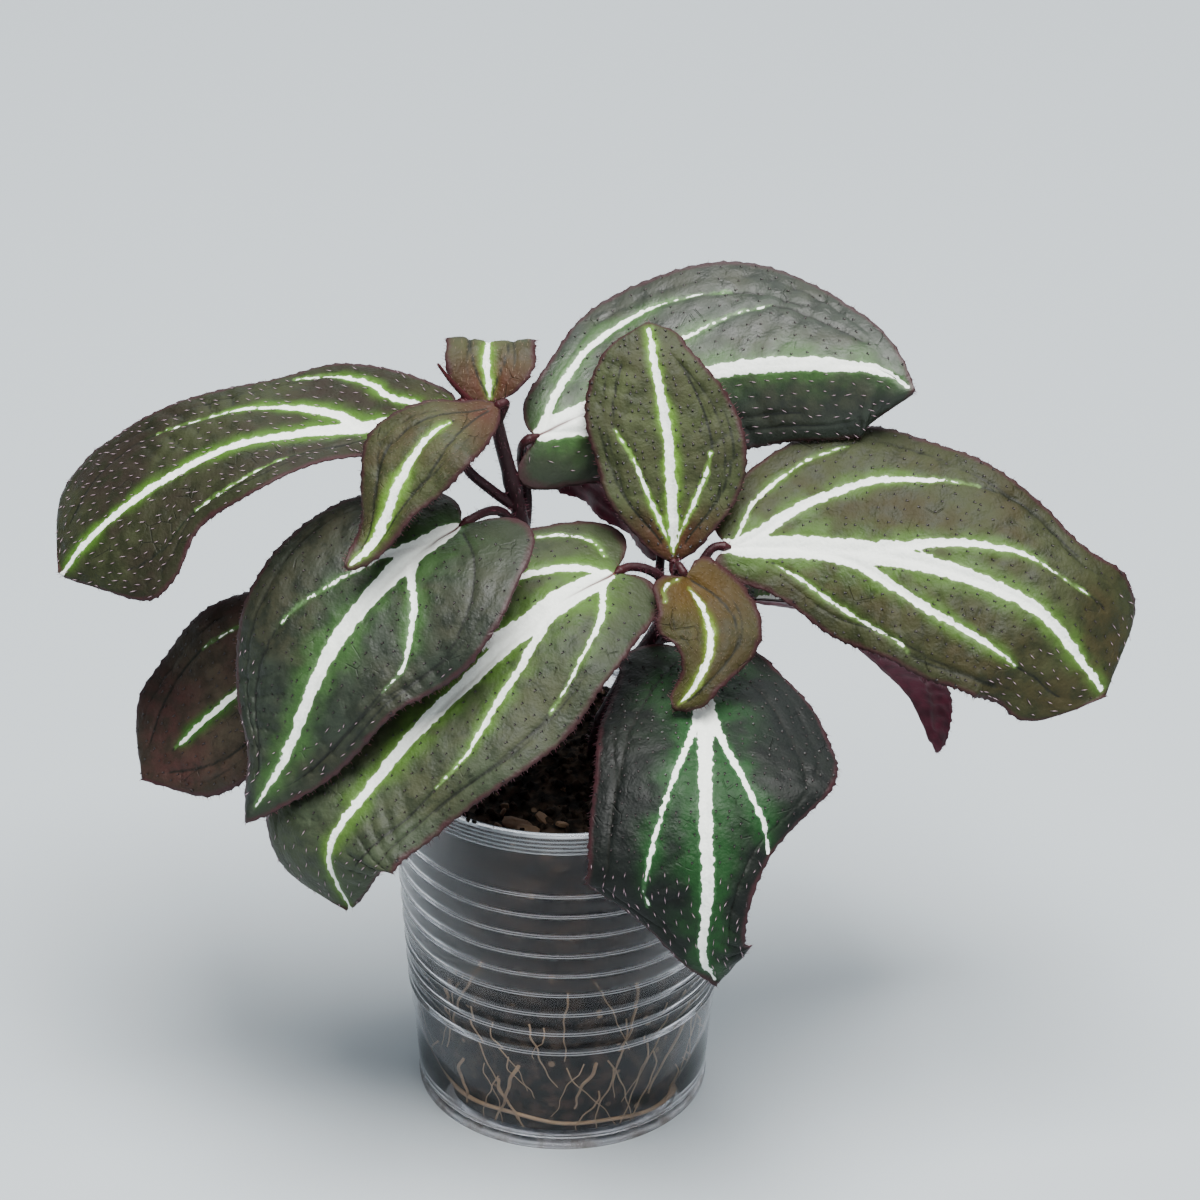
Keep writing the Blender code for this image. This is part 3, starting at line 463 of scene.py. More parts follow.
def blade_points(leaf, rows, across, teeth):
    """The blade's middle surface in millimetres, as rows of points from edge to edge."""
    fine = np.unique(np.concatenate([np.linspace(0, 1, 121), rows]))
    spots, heads, _ = along_curve(leaf["rib"], fine)
    facing = carry_face(heads, leaf["face"])
    pick = np.searchsorted(fine, rows)
    spots, heads, facing = spots[pick], heads[pick], facing[pick]
    leftward = np.cross(facing, heads)
    height, count, phase = leaf["wave"]
    grid = np.zeros((len(rows), len(across), 3))
    for j, place in enumerate(across):
        side, sign, lobe = ("left", 1, 0) if place > 0 else ("right", -1, 1)
        share = abs(place)
        tilts = leaf[side + "_tilt"]
        tilt = np.radians(smooth(np.linspace(0, 1, len(tilts)), tilts, rows))
        back = leaf["lobes"][lobe] * rows / LOBE_AT * np.exp(1 - rows / LOBE_AT)
        width = half_width(leaf, side, rows) + teeth[:, j]
        curl = np.radians(leaf[side + "_curl"])
        bent = tilt - curl * share
        out = width * (np.sin(tilt) - np.sin(bent)) / curl
        up = width * (np.cos(bent) - np.cos(tilt)) / curl
        ripple = np.sin(2 * math.pi * (count * rows + phase + 0.3 * sign))
        up = up + height * ripple * share**2 * np.clip(4 * rows, 0, 1)
        grid[:, j] = spots + leftward * (sign * out)[:, None] + facing * up[:, None]
        grid[:, j] -= heads * (back * share**2)[:, None]
    return grid


def drift(x, y, seed):
    """A smooth, irregular rise and fall between -1 and 1 over a plane."""
    first = np.sin(1.7 * x + 0.9 * y + seed)
    second = np.sin(-1.1 * x + 2.3 * y + 1.7 * seed)
    third = np.sin(2.9 * x - 1.3 * y + 2.3 * seed)
    return (first + second + third) / 3


def on_blade(grid, places, sides):
    """Points of a blade's grid at places along it, 0 to 1, and across it, -1 to 1."""
    row = np.clip(places, 0, 1) * (grid.shape[0] - 1)
    column = (np.clip(sides, -1, 1) + 1) / 2 * (grid.shape[1] - 1)
    i = np.minimum(row.astype(int), grid.shape[0] - 2)
    j = np.minimum(column.astype(int), grid.shape[1] - 2)
    u, v = (row - i)[:, None], (column - j)[:, None]
    near = grid[i, j] * (1 - v) + grid[i, j + 1] * v
    far = grid[i + 1, j] * (1 - v) + grid[i + 1, j + 1] * v
    return near * (1 - u) + far * u


def vein_fields(leaf, grid, reach):
    """For every point of the blade: the distance to the white, to a vein, and the glow."""
    points = grid.reshape(-1, 3)
    white = np.full(len(points), FAR_AWAY)
    vein = np.full(len(points), FAR_AWAY)
    glow = np.zeros(len(points))
    for stripe in leaf["stripes"]:
        knots = np.array(stripe, float)
        read = np.linspace(0, len(knots) - 1, 8 * len(knots))
        way = smooth(np.arange(len(knots)), knots, read)
        line = on_blade(grid, way[:, 0], way[:, 1])
        width = np.clip(way[:, 2], 0, None)
        for start, end, w0, w1 in zip(line, line[1:], width, width[1:]):
            along = end - start
            share = np.clip((points - start) @ along / max(along @ along, 1e-9), 0, 1)
            away = np.linalg.norm(points - start - share[:, None] * along, axis=1)
            wide = w0 + (w1 - w0) * share
            white = np.minimum(white, np.where(wide > THIN_STRIPE, away - wide / 2, FAR_AWAY))
            vein = np.minimum(vein, away)
            spread = reach * (0.7 + 0.5 * wide)
            light = np.clip(wide / 1.2, 0, 1) ** 0.5 * np.exp(-np.clip(away - wide / 2, 0, None) / spread)
            glow = np.maximum(glow, light)
    return (field.reshape(grid.shape[:2]) for field in (white, vein, glow))


def focus(item):
    """Makes item the one selected and active object."""
    bpy.ops.object.select_all(action="DESELECT")
    item.select_set(True)
    bpy.context.view_layer.objects.active = item


def new_item(name, data):
    """A new object, linked, selected and active."""
    item = bpy.data.objects.new(name, data)
    bpy.context.scene.collection.objects.link(item)
    focus(item)
    return item


def apply_modifiers(item):
    """Applies all of an object's modifiers in order."""
    focus(item)
    for modifier in list(item.modifiers):
        bpy.ops.object.modifier_apply(modifier=modifier.name)


def join(target, others):
    """Joins other objects into target, which stays the one selected object."""
    focus(target)
    for other in others:
        other.select_set(True)
    bpy.ops.object.join()
    return target


def set_attribute(mesh, name, values):
    """Writes one value for each vertex, which a material reads."""
    layer = mesh.attributes.get(name) or mesh.attributes.new(name, "FLOAT", "POINT")
    layer.data.foreach_set("value", np.asarray(values, np.float32).ravel())


def points_of(mesh):
    """The vertices' places as an array."""
    flat = np.zeros(3 * len(mesh.vertices), np.float32)
    mesh.vertices.foreach_get("co", flat)
    return flat.reshape(-1, 3).astype(float)


def normals_of(mesh):
    """The vertices' normals as an array."""
    flat = np.zeros(3 * len(mesh.vertices), np.float32)
    mesh.vertex_normals.foreach_get("vector", flat)
    return flat.reshape(-1, 3).astype(float)


def place_points(mesh, points):
    """Moves the vertices to new places."""
    mesh.vertices.foreach_set("co", np.asarray(points, np.float32).ravel())
    mesh.update()


def scatter(name, model, frames):
    """One mesh of copies of a model object, each turned and scaled by a 3 by 4 frame."""
    corners = points_of(model.data)
    faces = [tuple(face.vertices) for face in model.data.polygons]
    placed = np.einsum("nij,vj->nvi", frames[:, :, :3], corners) + frames[:, None, :, 3]
    every = []
    for k in range(len(frames)):
        shift = k * len(corners)
        every += [tuple(shift + corner for corner in face) for face in faces]
    mesh = bpy.data.meshes.new(name)
    mesh.from_pydata(placed.reshape(-1, 3).tolist(), [], every)
    marked = model.data.attributes.get("tip")
    if marked:
        set_attribute(mesh, "tip", np.tile([entry.value for entry in marked.data], len(frames)))
    return new_item(name, mesh)


def upright_frames(spots, heads, lengths, widths, turns):
    """Frames that stand a model on spots along heads, with its length and width."""
    helper = np.where(np.abs(heads[:, 2:3]) < 0.9, (0.0, 0.0, 1.0), (1.0, 0.0, 0.0))
    first = np.cross(heads, helper)
    first /= np.linalg.norm(first, axis=1)[:, None]
    second = np.cross(heads, first)
    spin_a = first * np.cos(turns)[:, None] + second * np.sin(turns)[:, None]
    spin_b = np.cross(heads, spin_a)
    frames = np.zeros((len(spots), 3, 4))
    frames[:, :, 0] = spin_a * widths[:, None]
    frames[:, :, 1] = spin_b * widths[:, None]
    frames[:, :, 2] = heads * lengths[:, None]
    frames[:, :, 3] = spots
    return frames


def hair_model(footed):
    """One bristle a unit long and wide, with its tip marked, on a flared foot if footed."""
    sides = 5 if footed else 3
    bpy.ops.mesh.primitive_cone_add(vertices=sides, radius1=1, radius2=0, depth=1, end_fill_type="NOTHING")
    hair = bpy.context.object
    points = points_of(hair.data)
    points[:, 2] += 0.5
    place_points(hair.data, points)
    if footed:
        bpy.ops.object.mode_set(mode="EDIT")
        bpy.ops.mesh.select_all(action="SELECT")
        for height in (0.12, 0.6):
            bpy.ops.mesh.bisect(plane_co=(0, 0, height), plane_no=(0, 0, 1))
            bpy.ops.mesh.select_all(action="SELECT")
        bpy.ops.object.mode_set(mode="OBJECT")
        points = points_of(hair.data)
        flare = np.interp(points[:, 2], (0, 0.12, 0.6, 1), (2.4, 1.15, 2.1, 1))
        points[:, :2] *= flare[:, None]
        place_points(hair.data, points)
    set_attribute(hair.data, "tip", points[:, 2])
    return hair


def make_hairs(name, spots, heads, length, width, seed, footed=False):
    """Bristles on spots that point along heads, as one object."""
    draw = np.random.default_rng(seed)
    count = len(spots)
    heads = heads + draw.normal(0, 0.22, (count, 3))
    heads /= np.linalg.norm(heads, axis=1)[:, None]
    lengths = length * draw.uniform(0.6, 1.25, count)
    turns = draw.uniform(0, 2 * math.pi, count)
    model = hair_model(footed)
    frames = upright_frames(spots, heads, lengths, np.full(count, width), turns)
    hairs = scatter(name, model, frames)
    bpy.data.objects.remove(model)
    return hairs


def tube(name, points, radii, sides):
    """A round, capped tube through points in millimetres, as a mesh object."""
    curve = bpy.data.curves.new(name, "CURVE")
    curve.dimensions = "3D"
    curve.bevel_depth = MM
    curve.bevel_resolution = sides
    curve.use_fill_caps = True
    spline = curve.splines.new("POLY")
    spline.points.add(len(points) - 1)
    for knot, point, radius in zip(spline.points, points, radii):
        knot.co = (point[0] * MM, point[1] * MM, point[2] * MM, 1)
        knot.radius = radius
    new_item(name, curve)
    bpy.ops.object.convert(target="MESH")
    return bpy.context.object


def turned(name, section, steps):
    """A piece spun about Z from a section of radius and height in millimetres."""
    mesh = bpy.data.meshes.new(name)
    corners = [(radius * MM, 0, height * MM) for radius, height in section]
    mesh.from_pydata(corners, [(i, i + 1) for i in range(len(corners) - 1)], [])
    item = new_item(name, mesh)
    bpy.ops.object.mode_set(mode="EDIT")
    bpy.ops.mesh.select_all(action="SELECT")
    bpy.ops.mesh.spin(steps=steps, angle=2 * math.pi, center=(0, 0, 0), axis=(0, 0, 1))
    bpy.ops.mesh.select_all(action="SELECT")
    bpy.ops.mesh.remove_doubles(threshold=0.01 * MM)
    bpy.ops.mesh.normals_make_consistent(inside=False)
    bpy.ops.object.mode_set(mode="OBJECT")
    bpy.ops.object.shade_smooth()
    return item


class Tree:
    """Short ways to lay out a material's nodes."""

    def __init__(self, name):
        self.material = bpy.data.materials.new(name)
        self.material.use_nodes = True
        self.tree = self.material.node_tree
        self.shader = self.tree.nodes["Principled BSDF"]
        self.place = self.add("ShaderNodeTexCoord").outputs["Object"]

    def add(self, kind, inputs=None, **settings):
        """A node, with its settings and its values or links."""
        item = self.tree.nodes.new(kind)
        for key, value in settings.items():
            setattr(item, key, value)
        for key, value in (inputs or {}).items():
            if isinstance(value, bpy.types.NodeSocket):
                self.tree.links.new(value, item.inputs[key])
            else:
                item.inputs[key].default_value = value
        return item

    def maths(self, operation, a, b=0.0):
        """One step of arithmetic."""
        return self.add("ShaderNodeMath", {0: a, 1: b}, operation=operation).outputs[0]

    def noise(self, scale, detail=2.0):
        """Noise on the piece's own coordinates."""
        inputs = {"Vector": self.place, "Scale": scale, "Detail": detail}
        return self.add("ShaderNodeTexNoise", inputs).outputs[0]

    def field(self, name):
        """A value that the mesh carries for each vertex."""
        return self.add("ShaderNodeAttribute", attribute_name=name).outputs["Fac"]

    def fade(self, value, start, end, low=0.0, high=1.0):
        """A smooth step from low to high between start and end."""
        inputs = {0: value, 1: start, 2: end, 3: low, 4: high}
        return self.add("ShaderNodeMapRange", inputs, interpolation_type="SMOOTHSTEP").outputs[0]

    def mix(self, share, a, b):
        """A blend of two colours."""
        a = (*a, 1) if isinstance(a, tuple) else a
        b = (*b, 1) if isinstance(b, tuple) else b
        return self.add("ShaderNodeMix", {0: share, 6: a, 7: b}, data_type="RGBA").outputs[2]

    def bump(self, height, distance, strength=1.0):
        """Fine relief on the shader's normal."""
        inputs = {"Height": height, "Distance": distance, "Strength": strength}
        normal = self.add("ShaderNodeBump", inputs).outputs[0]
        self.tree.links.new(normal, self.shader.inputs["Normal"])

    def set(self, **values):
        """Shader inputs by name, with _ for a space; a node's output is linked."""
        for name, value in values.items():
            socket = self.shader.inputs[name.replace("_", " ")]
            if isinstance(value, bpy.types.NodeSocket):
                self.tree.links.new(value, socket)
            else:
                socket.default_value = (*value, 1) if isinstance(value, tuple) else value


def colour_property(name, description, default):
    """A colour that a user can change."""
    return FloatVectorProperty(
        name=name, description=description, default=default, subtype="COLOR", size=3, min=0, max=1
    )


def length_property(name, description, default):
    """A length that a user can change, given in millimetres."""
    return FloatProperty(
        name=name, description=description, default=default * MM, subtype="DISTANCE", unit="LENGTH", min=0
    )


class CupSizes(bpy.types.PropertyGroup):
    """The clear cup."""

    height: length_property("Height", "From the table to the top of the rim", 79.6)
    rim_radius: length_property("Rim radius", "Outer radius of the rolled rim", 36.0)
    rim_depth: length_property("Rim depth", "Height of the rolled rim", 4.2)
    top_radius: length_property("Wall top radius", "Outer radius of the wall under the rim", 34.9)
    foot_radius: length_property("Wall foot radius", "Outer radius of the wall at the foot", 30.1)
    wall: length_property("Wall", "Thickness of the plastic", 0.75)
    top_rib: length_property("Top rib", "Height of the highest rib", 64.4)
    rib_pitch: length_property("Rib pitch", "Height from rib to rib", 4.9)
    rib_rise: length_property("Rib rise", "How far a rib stands out", 0.28)
    ribs: IntProperty(name="Ribs", description="Number of ribs round the wall", default=9, min=0)
    tint: colour_property("Tint", "Colour of the clear plastic", (0.88, 0.87, 0.9))


class SoilSizes(bpy.types.PropertyGroup):
    """The soil and the roots in it."""

    top: length_property("Soil top", "Height of the soil above the table", 74.0)
    root_zone: length_property("Root zone", "Height up to which the soil leaves room for roots", 47.0)
    crumbs: IntProperty(name="Crumbs", description="Loose crumbs on the soil", default=620, min=0)
    strands: IntProperty(name="Root strands", description="Roots seen against the wall", default=120, min=0)
    soil: colour_property("Soil", "Colour of the damp soil", (0.006, 0.005, 0.004))
    root: colour_property("Root", "Colour of the roots", (0.3, 0.2, 0.11))


class ShootSizes(bpy.types.PropertyGroup):
    """The stems and petioles."""

    stem_radius: length_property("Stem radius", "Radius of a stem at the soil", 2.2)
    apex_radius: length_property("Apex radius", "Radius of a stem at its tip", 1.4)
    petiole_radius: length_property("Petiole radius", "Radius of a petiole at the stem", 1.15)
    petiole_tip: length_property("Petiole tip radius", "Radius of a petiole at its leaf", 0.85)
    skin: colour_property("Stem", "Colour of the stem's skin", (0.012, 0.003, 0.005))
    warm: colour_property("Leaf base", "Colour where a petiole meets its leaf", (0.05, 0.005, 0.007))


class LeafLook(bpy.types.PropertyGroup):
    """The leaves' thickness and the colours that all of them share."""

    thickness: length_property("Blade thickness", "Thickness of a blade away from its edge", 0.55)
    tooth: length_property("Tooth", "Depth of the teeth on the edge", 0.4)
    hair: length_property("Hair length", "Length of the bristles", 1.1)
    white: colour_property("Stripe", "Colour of the stripes", (0.93, 0.97, 0.9))
    edge: colour_property("Edge", "Colour of the leaf's edge", (0.035, 0.011, 0.014))
    under: colour_property("Underside", "Colour of a leaf's underside", (0.1, 0.01, 0.026))


class StageLook(bpy.types.PropertyGroup):
    """The floor, lights and camera."""

    floor: colour_property("Floor", "Colour of the floor", (0.45, 0.493, 0.522))
    lens: FloatProperty(name="Lens", description="Focal length in millimetres", default=152.1, min=1)
    down: FloatProperty(name="Down", description="How far the camera looks down, in degrees", default=29.9)
    roll: FloatProperty(name="Roll", description="How far the camera leans, in degrees", default=0.41)
    away: length_property("Distance", "From the camera to the point that it looks at", 1000.0)


def leaf_material(name, skin, look):
    """The upper skin: dark panels, white stripes with ragged edges, and a green glow."""
    t = Tree(name)
    broad = t.noise(55.0, 3.0)
    patchy = t.noise(140.0, 3.0)
    middle = t.noise(300.0, 4.0)
    fine = t.noise(1500.0, 3.0)
    jag = t.maths("MULTIPLY", t.maths("SUBTRACT", t.noise(620.0, 3.0), 0.5), 1.5)
    away = t.maths("ADD", t.field("white"), jag)
    white = t.fade(away, 0.05, -0.07)
    glow = t.maths("MULTIPLY", t.field("glow"), t.fade(patchy, 0.3, 0.65, 0.35, 1.1))
    panel = t.mix(t.fade(broad, 0.38, 0.62), skin["panel"], skin["other"])
    dim_tone_and_edge_shade = tuple(0.45 * c for c in skin["panel"])
    panel = t.mix(t.fade(middle, 0.6, 0.32, 0.0, 0.8), panel, dim_tone_and_edge_shade)
    panel = t.mix(t.fade(t.field("base"), 14.0, 2.0, 0.0, 0.9), panel, skin["base"])
    lime = tuple(1.7 * c + 0.02 for c in skin["glow"])
    panel = t.mix(t.fade(glow, 0.08, 0.75, 0.0, 0.95), panel, skin["glow"])
    line = t.fade(t.maths("ADD", away, t.maths("MULTIPLY", middle, 0.5)), 0.85, 0.25)
    panel = t.mix(t.maths("MULTIPLY", line, t.fade(patchy, 0.35, 0.6, 0.4, 1.0)), panel, lime)
    cracks = t.add(
        "ShaderNodeTexVoronoi", {"Vector": t.place, "Scale": 250.0}, feature="DISTANCE_TO_EDGE"
    ).outputs[0]
    wrinkled = t.maths("MULTIPLY", t.fade(patchy, 0.56, 0.68), t.fade(away, 0.8, 2.5))
    crack = t.maths("MULTIPLY", t.fade(cracks, 0.05, 0.01), wrinkled)
    # Painted shade: the fine cracks in wrinkled patches are darkened, for the shade in these creases; the
    # bump below sinks them too.
    panel = t.mix(t.maths("MULTIPLY", crack, 0.4), panel, (0.006, 0.006, 0.004))
    # Partly painted shade: the veins, the ladder of cross veins and the line inside the edge are darkened,
    # for their own darker tone and for the shade in these sunken grooves.
    panel = t.mix(t.fade(t.field("vein"), 0.12, 0.9, 0.0, 0.85), panel, (0.006, 0.007, 0.005))
    # Painted shade: within 6 mm of the edge the panel darkens towards the dimmer colour, for the shade on
    # drooping edges and tips.
    panel = t.mix(t.fade(t.field("margin"), 6.0, 0.5, 0.0, 0.4), panel, dim_tone_and_edge_shade)
    rim = t.maths("ADD", t.field("margin"), t.maths("MULTIPLY", t.maths("SUBTRACT", middle, 0.5), 1.6))
    panel = t.mix(t.fade(rim, 1.3, 0.1, 0.0, 0.9), panel, tuple(look.edge))
    stripe = t.mix(t.fade(fine, 0.35, 0.65), tuple(look.white), tuple(0.93 * c for c in look.white))
    colour = t.mix(white, panel, stripe)
    colour = t.mix(t.field("seam"), colour, (0.07, 0.008, 0.008))
    satin = 0.6 - 0.5 * skin["gloss"]
    t.set(Base_Color=colour, Roughness=t.fade(middle, 0.3, 0.7, satin, satin + 0.16))
    t.set(Specular_IOR_Level=skin["gloss"])
    pebble = t.add("ShaderNodeTexVoronoi", {"Vector": t.place, "Scale": 1500.0}).outputs[0]
    height = t.maths("ADD", t.maths("MULTIPLY", pebble, 0.5), t.maths("MULTIPLY", crack, -1.5))
    height = t.maths("ADD", height, t.maths("MULTIPLY", t.noise(420.0, 3.0), 3.0))
    t.bump(t.maths("ADD", height, fine), (0.17 - 0.25 * skin["gloss"]) * MM, 0.9)
    return t.material


def underside_material(look):
    """The wine-purple underside, paler over its veins."""
    t = Tree("leaf underside")
    middle = t.noise(300.0, 4.0)
    wine = tuple(look.under)
    colour = t.mix(t.fade(middle, 0.35, 0.65), wine, tuple(0.55 * c for c in wine))
    colour = t.mix(t.fade(t.field("vein"), 0.1, 0.9, 0.0, 0.5), colour, (0.07, 0.022, 0.026))
    t.set(Base_Color=colour, Roughness=0.5, Specular_IOR_Level=0.2)
    t.bump(t.noise(1400.0, 3.0), 0.0001, 0.6)
    return t.material


def hair_material(name, root, tip):
    """Bristles, dark at the root and pale at the tip."""
    t = Tree(name)
    share = t.fade(t.field("tip"), 0.12, 0.45)
    t.set(Base_Color=t.mix(share, root, tip), Roughness=0.4)
    return t.material


def bump_line(away, width):
    """A soft line, 1 at its middle and fading over a width."""
    return np.exp(-((away / width) ** 2))


def ramp(values, start, span):
    """Rises from 0 to 1 over a span that begins at start."""
    return np.clip((values - start) / span, 0, 1)


class BladeGrid:
    """A leaf's points, in rows from base to tip and columns from right to left.

    Its measures are in millimetres at each point: along and away from the midrib, the
    margin to the edge, and the distances to the white stripes and to the veins.
    """

    def __init__(self, leaf, look):
        self.leaf = leaf
        self.skin = SKINS[leaf["skin"]]
        self.seed = sum(leaf["left"]) + 0.37 * sum(leaf["right"])
        self.length = along_curve(leaf["rib"], [0.0])[2]
        widest = max(leaf["left"]) + max(leaf["right"])
        self.row_count = int(self.length / GRID_STEP)
        self.column_count = 2 * int(widest / GRID_STEP / 2) + 1
        self.rows = np.linspace(0, 1, self.row_count)
        across = np.linspace(-1, 1, self.column_count)
        teeth = np.zeros((self.row_count, self.column_count))
        teeth[:, (0, -1)] = self.tooth_depths(look)[:, None]
        self.points = blade_points(leaf, self.rows, across, teeth)
        self.left = half_width(leaf, "left", self.rows)
        self.right = half_width(leaf, "right", self.rows)
        self.half = np.where(across > 0, self.left[:, None], self.right[:, None])
        self.share, self.side = np.meshgrid(self.rows, across, indexing="ij")
        self.along = self.share * self.length
        self.away = self.side * self.half
        self.white, self.vein, self.glow = vein_fields(leaf, self.points, self.skin["reach"])
        self.margin = np.minimum((1 - np.abs(self.side)) * self.half, (1 - self.share) * self.length)
        self.raise_relief()

    def tooth_depths(self, look):
        """How far each row's edge stands out: a saw of a few rows to a tooth."""
        steps = np.arange(self.row_count)
        bite = (steps % TOOTH_ROWS) / (TOOTH_ROWS - 1)
        bite = bite * (0.75 + 0.35 * np.sin(2.1 * steps + self.seed))
        return bite * np.clip(self.rows / LOBE_AT, 0, 1) * (self.rows < 0.995) * look.tooth / MM

    def raise_relief(self):
        """Sinks the veins, the ladder of cross veins and the line inside the edge."""
        s, w, t, seed = self.along, self.away, self.share, self.seed
        slant = s - 0.45 * np.abs(w) + 1.6 * drift(s / 9, w / 7, seed)
        rung = np.abs((slant / LADDER_PITCH + 0.5) % 1 - 0.5) * LADDER_PITCH
        patch = np.clip(0.35 + 1.1 * drift(s / 17, w / 14, 2 * seed), 0, 1)
        zone = np.clip(3 * t - 0.6, 0, 1) * ramp(np.abs(w), 2.5, 3) * ramp(self.margin, 0, 2.5)
        zone = zone * ramp(self.white, 0.6, 1.5) * patch
        ladder = bump_line(rung, 0.3) * zone
        puff = np.cos(2 * math.pi * slant / LADDER_PITCH) * zone
        border = bump_line(self.margin - BORDER_INSET - 0.6 * drift(s / 15, self.side, seed), 0.32)
        border = border * np.clip(4 * t - 0.2, 0, 1) * np.clip(6 * (0.93 - t), 0, 1)
        border = border * (self.half > NARROW_HALF)
        swell = drift(s / 9, w / 8, 3 * seed) * ramp(self.margin, 0, 4)
        rise = SWELL_HEIGHT * swell + RIPPLE_HEIGHT * drift(s / 2.1, w / 1.7, seed)
        rise = rise - VEIN_DEPTH * bump_line(self.vein, 0.7) - BORDER_DEPTH * border
        rise = rise - LADDER_DEPTH * ladder - PUFF_DEPTH * puff
        rise = rise * ramp(self.margin, 0, 0.8)
        self.normal = np.cross(np.gradient(self.points, axis=0), np.gradient(self.points, axis=1))
        self.normal /= np.linalg.norm(self.normal, axis=2)[:, :, None]
        self.points = self.points + self.normal * rise[:, :, None]
        self.ahead = np.gradient(self.points, axis=0)
        self.ahead /= np.linalg.norm(self.ahead, axis=2)[:, :, None]
        # The lines that the upper skin darkens, partly as painted shade in these sunken grooves.
        line = bump_line(self.vein, 0.33) * ramp(self.white, -0.2, 0.6)
        self.dark = np.clip(line + 0.8 * ladder + 0.75 * border, 0, 1)

    def mesh_object(self, name):
        """The points as a mesh, with the fields and the flat map that the skin reads."""
        bpy.ops.object.select_all(action="DESELECT")
        last_row, last_column = self.row_count - 1, self.column_count - 1
        bpy.ops.mesh.primitive_grid_add(x_subdivisions=last_row, y_subdivisions=last_column, size=2)
        blade = bpy.context.object
        blade.name = name
        mesh = blade.data
        flat = points_of(mesh)
        i = np.rint((flat[:, 0] + 1) / 2 * last_row).astype(int)
        j = np.rint((flat[:, 1] + 1) / 2 * last_column).astype(int)
        place_points(mesh, self.points[i, j] * MM)
        seam = np.clip((self.leaf.get("seam", 0) - self.share) * 12, 0, 1)
        seam = np.exp(-((self.away / 0.32) ** 4)) * seam
        fields = dict(white=self.white, vein=self.dark, glow=self.glow, margin=self.margin, base=self.along)
        for key, values in dict(**fields, seam=seam).items():
            set_attribute(mesh, key, values[i, j])
        corner = np.zeros(len(mesh.loops), np.int32)
        mesh.loops.foreach_get("vertex_index", corner)
        flat_place = np.stack([self.along[i, j], self.away[i, j]], -1)[corner] * UV_PER_MM
        mesh.uv_layers[0].data.foreach_set("uv", flat_place.astype(np.float32).ravel())
        group = blade.vertex_groups.new(name="thickness")
        thin = np.clip(0.45 + self.margin / 2.2, 0, 1)[i, j]
        for level in range(10):
            chosen = np.nonzero((thin * 10).astype(int) == level)[0].tolist()
            group.add(chosen, level / 10 + 0.05, "REPLACE")
        group.add(np.nonzero(thin >= 1)[0].tolist(), 1.0, "REPLACE")
        return blade

    def hair_places(self, draw):
        """Rows and columns where hairs stand: an uneven lattice that leaves the white bare."""
        span = 10 / math.sqrt(self.skin["hairs"])
        widest = max(self.leaf["right"]), max(self.leaf["left"])
        wanted_s, wanted_w = np.meshgrid(
            np.arange(span / 2, self.length, span), np.arange(-widest[0], widest[1], span), indexing="ij"
        )
        wanted_s = wanted_s + draw.uniform(-0.3, 0.3, wanted_s.shape) * span
        wanted_w = wanted_w + draw.uniform(-0.3, 0.3, wanted_w.shape) * span
        last_row, last_column = self.row_count - 1, self.column_count - 1
        row = np.clip(np.rint(wanted_s / self.length * last_row).astype(int), 0, last_row)
        side = np.where(wanted_w > 0, self.left[row], self.right[row])
        column = np.rint((wanted_w / side + 1) / 2 * last_column).astype(int)
        keep = (np.abs(wanted_w) < side - 0.6) & (column > 0) & (column < last_column)
        row, column = row[keep], column[keep]
        bare = self.white[row, column] > (-0.4 if self.is_young() else 0.35)
        return row[bare], column[bare]

    def edge_places(self, draw):
        """Places and directions of the hairs along the edge and round the tip."""
        edge_rows = np.arange(6, self.row_count - 1)
        spots, heads = [], []
        for column, inner in ((0, 2), (self.column_count - 1, self.column_count - 3)):
            outward = self.points[edge_rows, column] - self.points[edge_rows, inner]
            outward /= np.linalg.norm(outward, axis=1)[:, None]
            spots.append(self.points[edge_rows, column] * MM)
            heads.append(outward + 0.35 * self.ahead[edge_rows, column])
        tip = self.points[-1, :: max(1, self.column_count // 6)] * MM
        spots.append(tip)
        heads.append(np.repeat(self.ahead[-1, self.column_count // 2][None], len(tip), 0))
        spots, heads = np.concatenate(spots), np.concatenate(heads)
        picked = draw.uniform(0, 1, len(spots)) < (0.95 if self.is_young() else 0.55)
        return spots[picked], heads[picked]

    def is_young(self):
        """A young leaf's hairs stand close together."""
        return self.skin["hairs"] >= YOUNG_HAIRS


def dress_leaf(name, leaf, look, materials):
    """One leaf: its toothed, veined blade, the hairs on it and the fringe on its edge."""
    form = BladeGrid(leaf, look)
    blade = form.mesh_object(name + "_blade")
    blade.data.materials.append(materials[leaf["skin"]])
    blade.data.materials.append(materials["under"])
    wall = blade.modifiers.new("Thickness", "SOLIDIFY")
    wall.thickness = look.thickness
    wall.offset = 0
    wall.vertex_group = "thickness"
    wall.material_offset = 1
    wall.use_rim = True
    apply_modifiers(blade)
    bpy.ops.object.shade_smooth()

    draw = np.random.default_rng(int(form.seed * 100))
    row, column = form.hair_places(draw)
    normal = form.normal[row, column]
    spots = form.points[row, column] * MM + normal * look.thickness * 0.4
    heads = 0.55 * normal + form.ahead[row, column]
    # Painted light: where the blade faces up its hairs get the dark speck skin, where it hangs the pale
    # bristle skin.
    kind = np.where(normal[:, 2] > LEVEL_NORMAL, "speck", "bristle")
    if form.skin["fur"] != "mixed":
        kind[:] = form.skin["fur"]
    coats = []
    for fur in np.unique(kind).tolist():
        chosen = kind == fur
        share, width = FURS[fur]
        tall, seed, footed = share * look.hair, int(form.seed * 10), fur != "silk"
        coat = make_hairs(f"{name}_{fur}", spots[chosen], heads[chosen], tall, width * MM, seed, footed)
        coat.data.materials.append(materials[fur])
        coats.append(coat)
    spots, heads = form.edge_places(draw)
    fringe = make_hairs(f"{name}_fringe", spots, heads, 0.8 * look.hair, 0.06 * MM, int(form.seed * 7))
    fringe.data.materials.append(materials["fringe"])
    join(blade, [*coats, fringe])
    bpy.ops.object.shade_smooth()
    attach(blade, "root")
    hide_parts(name)


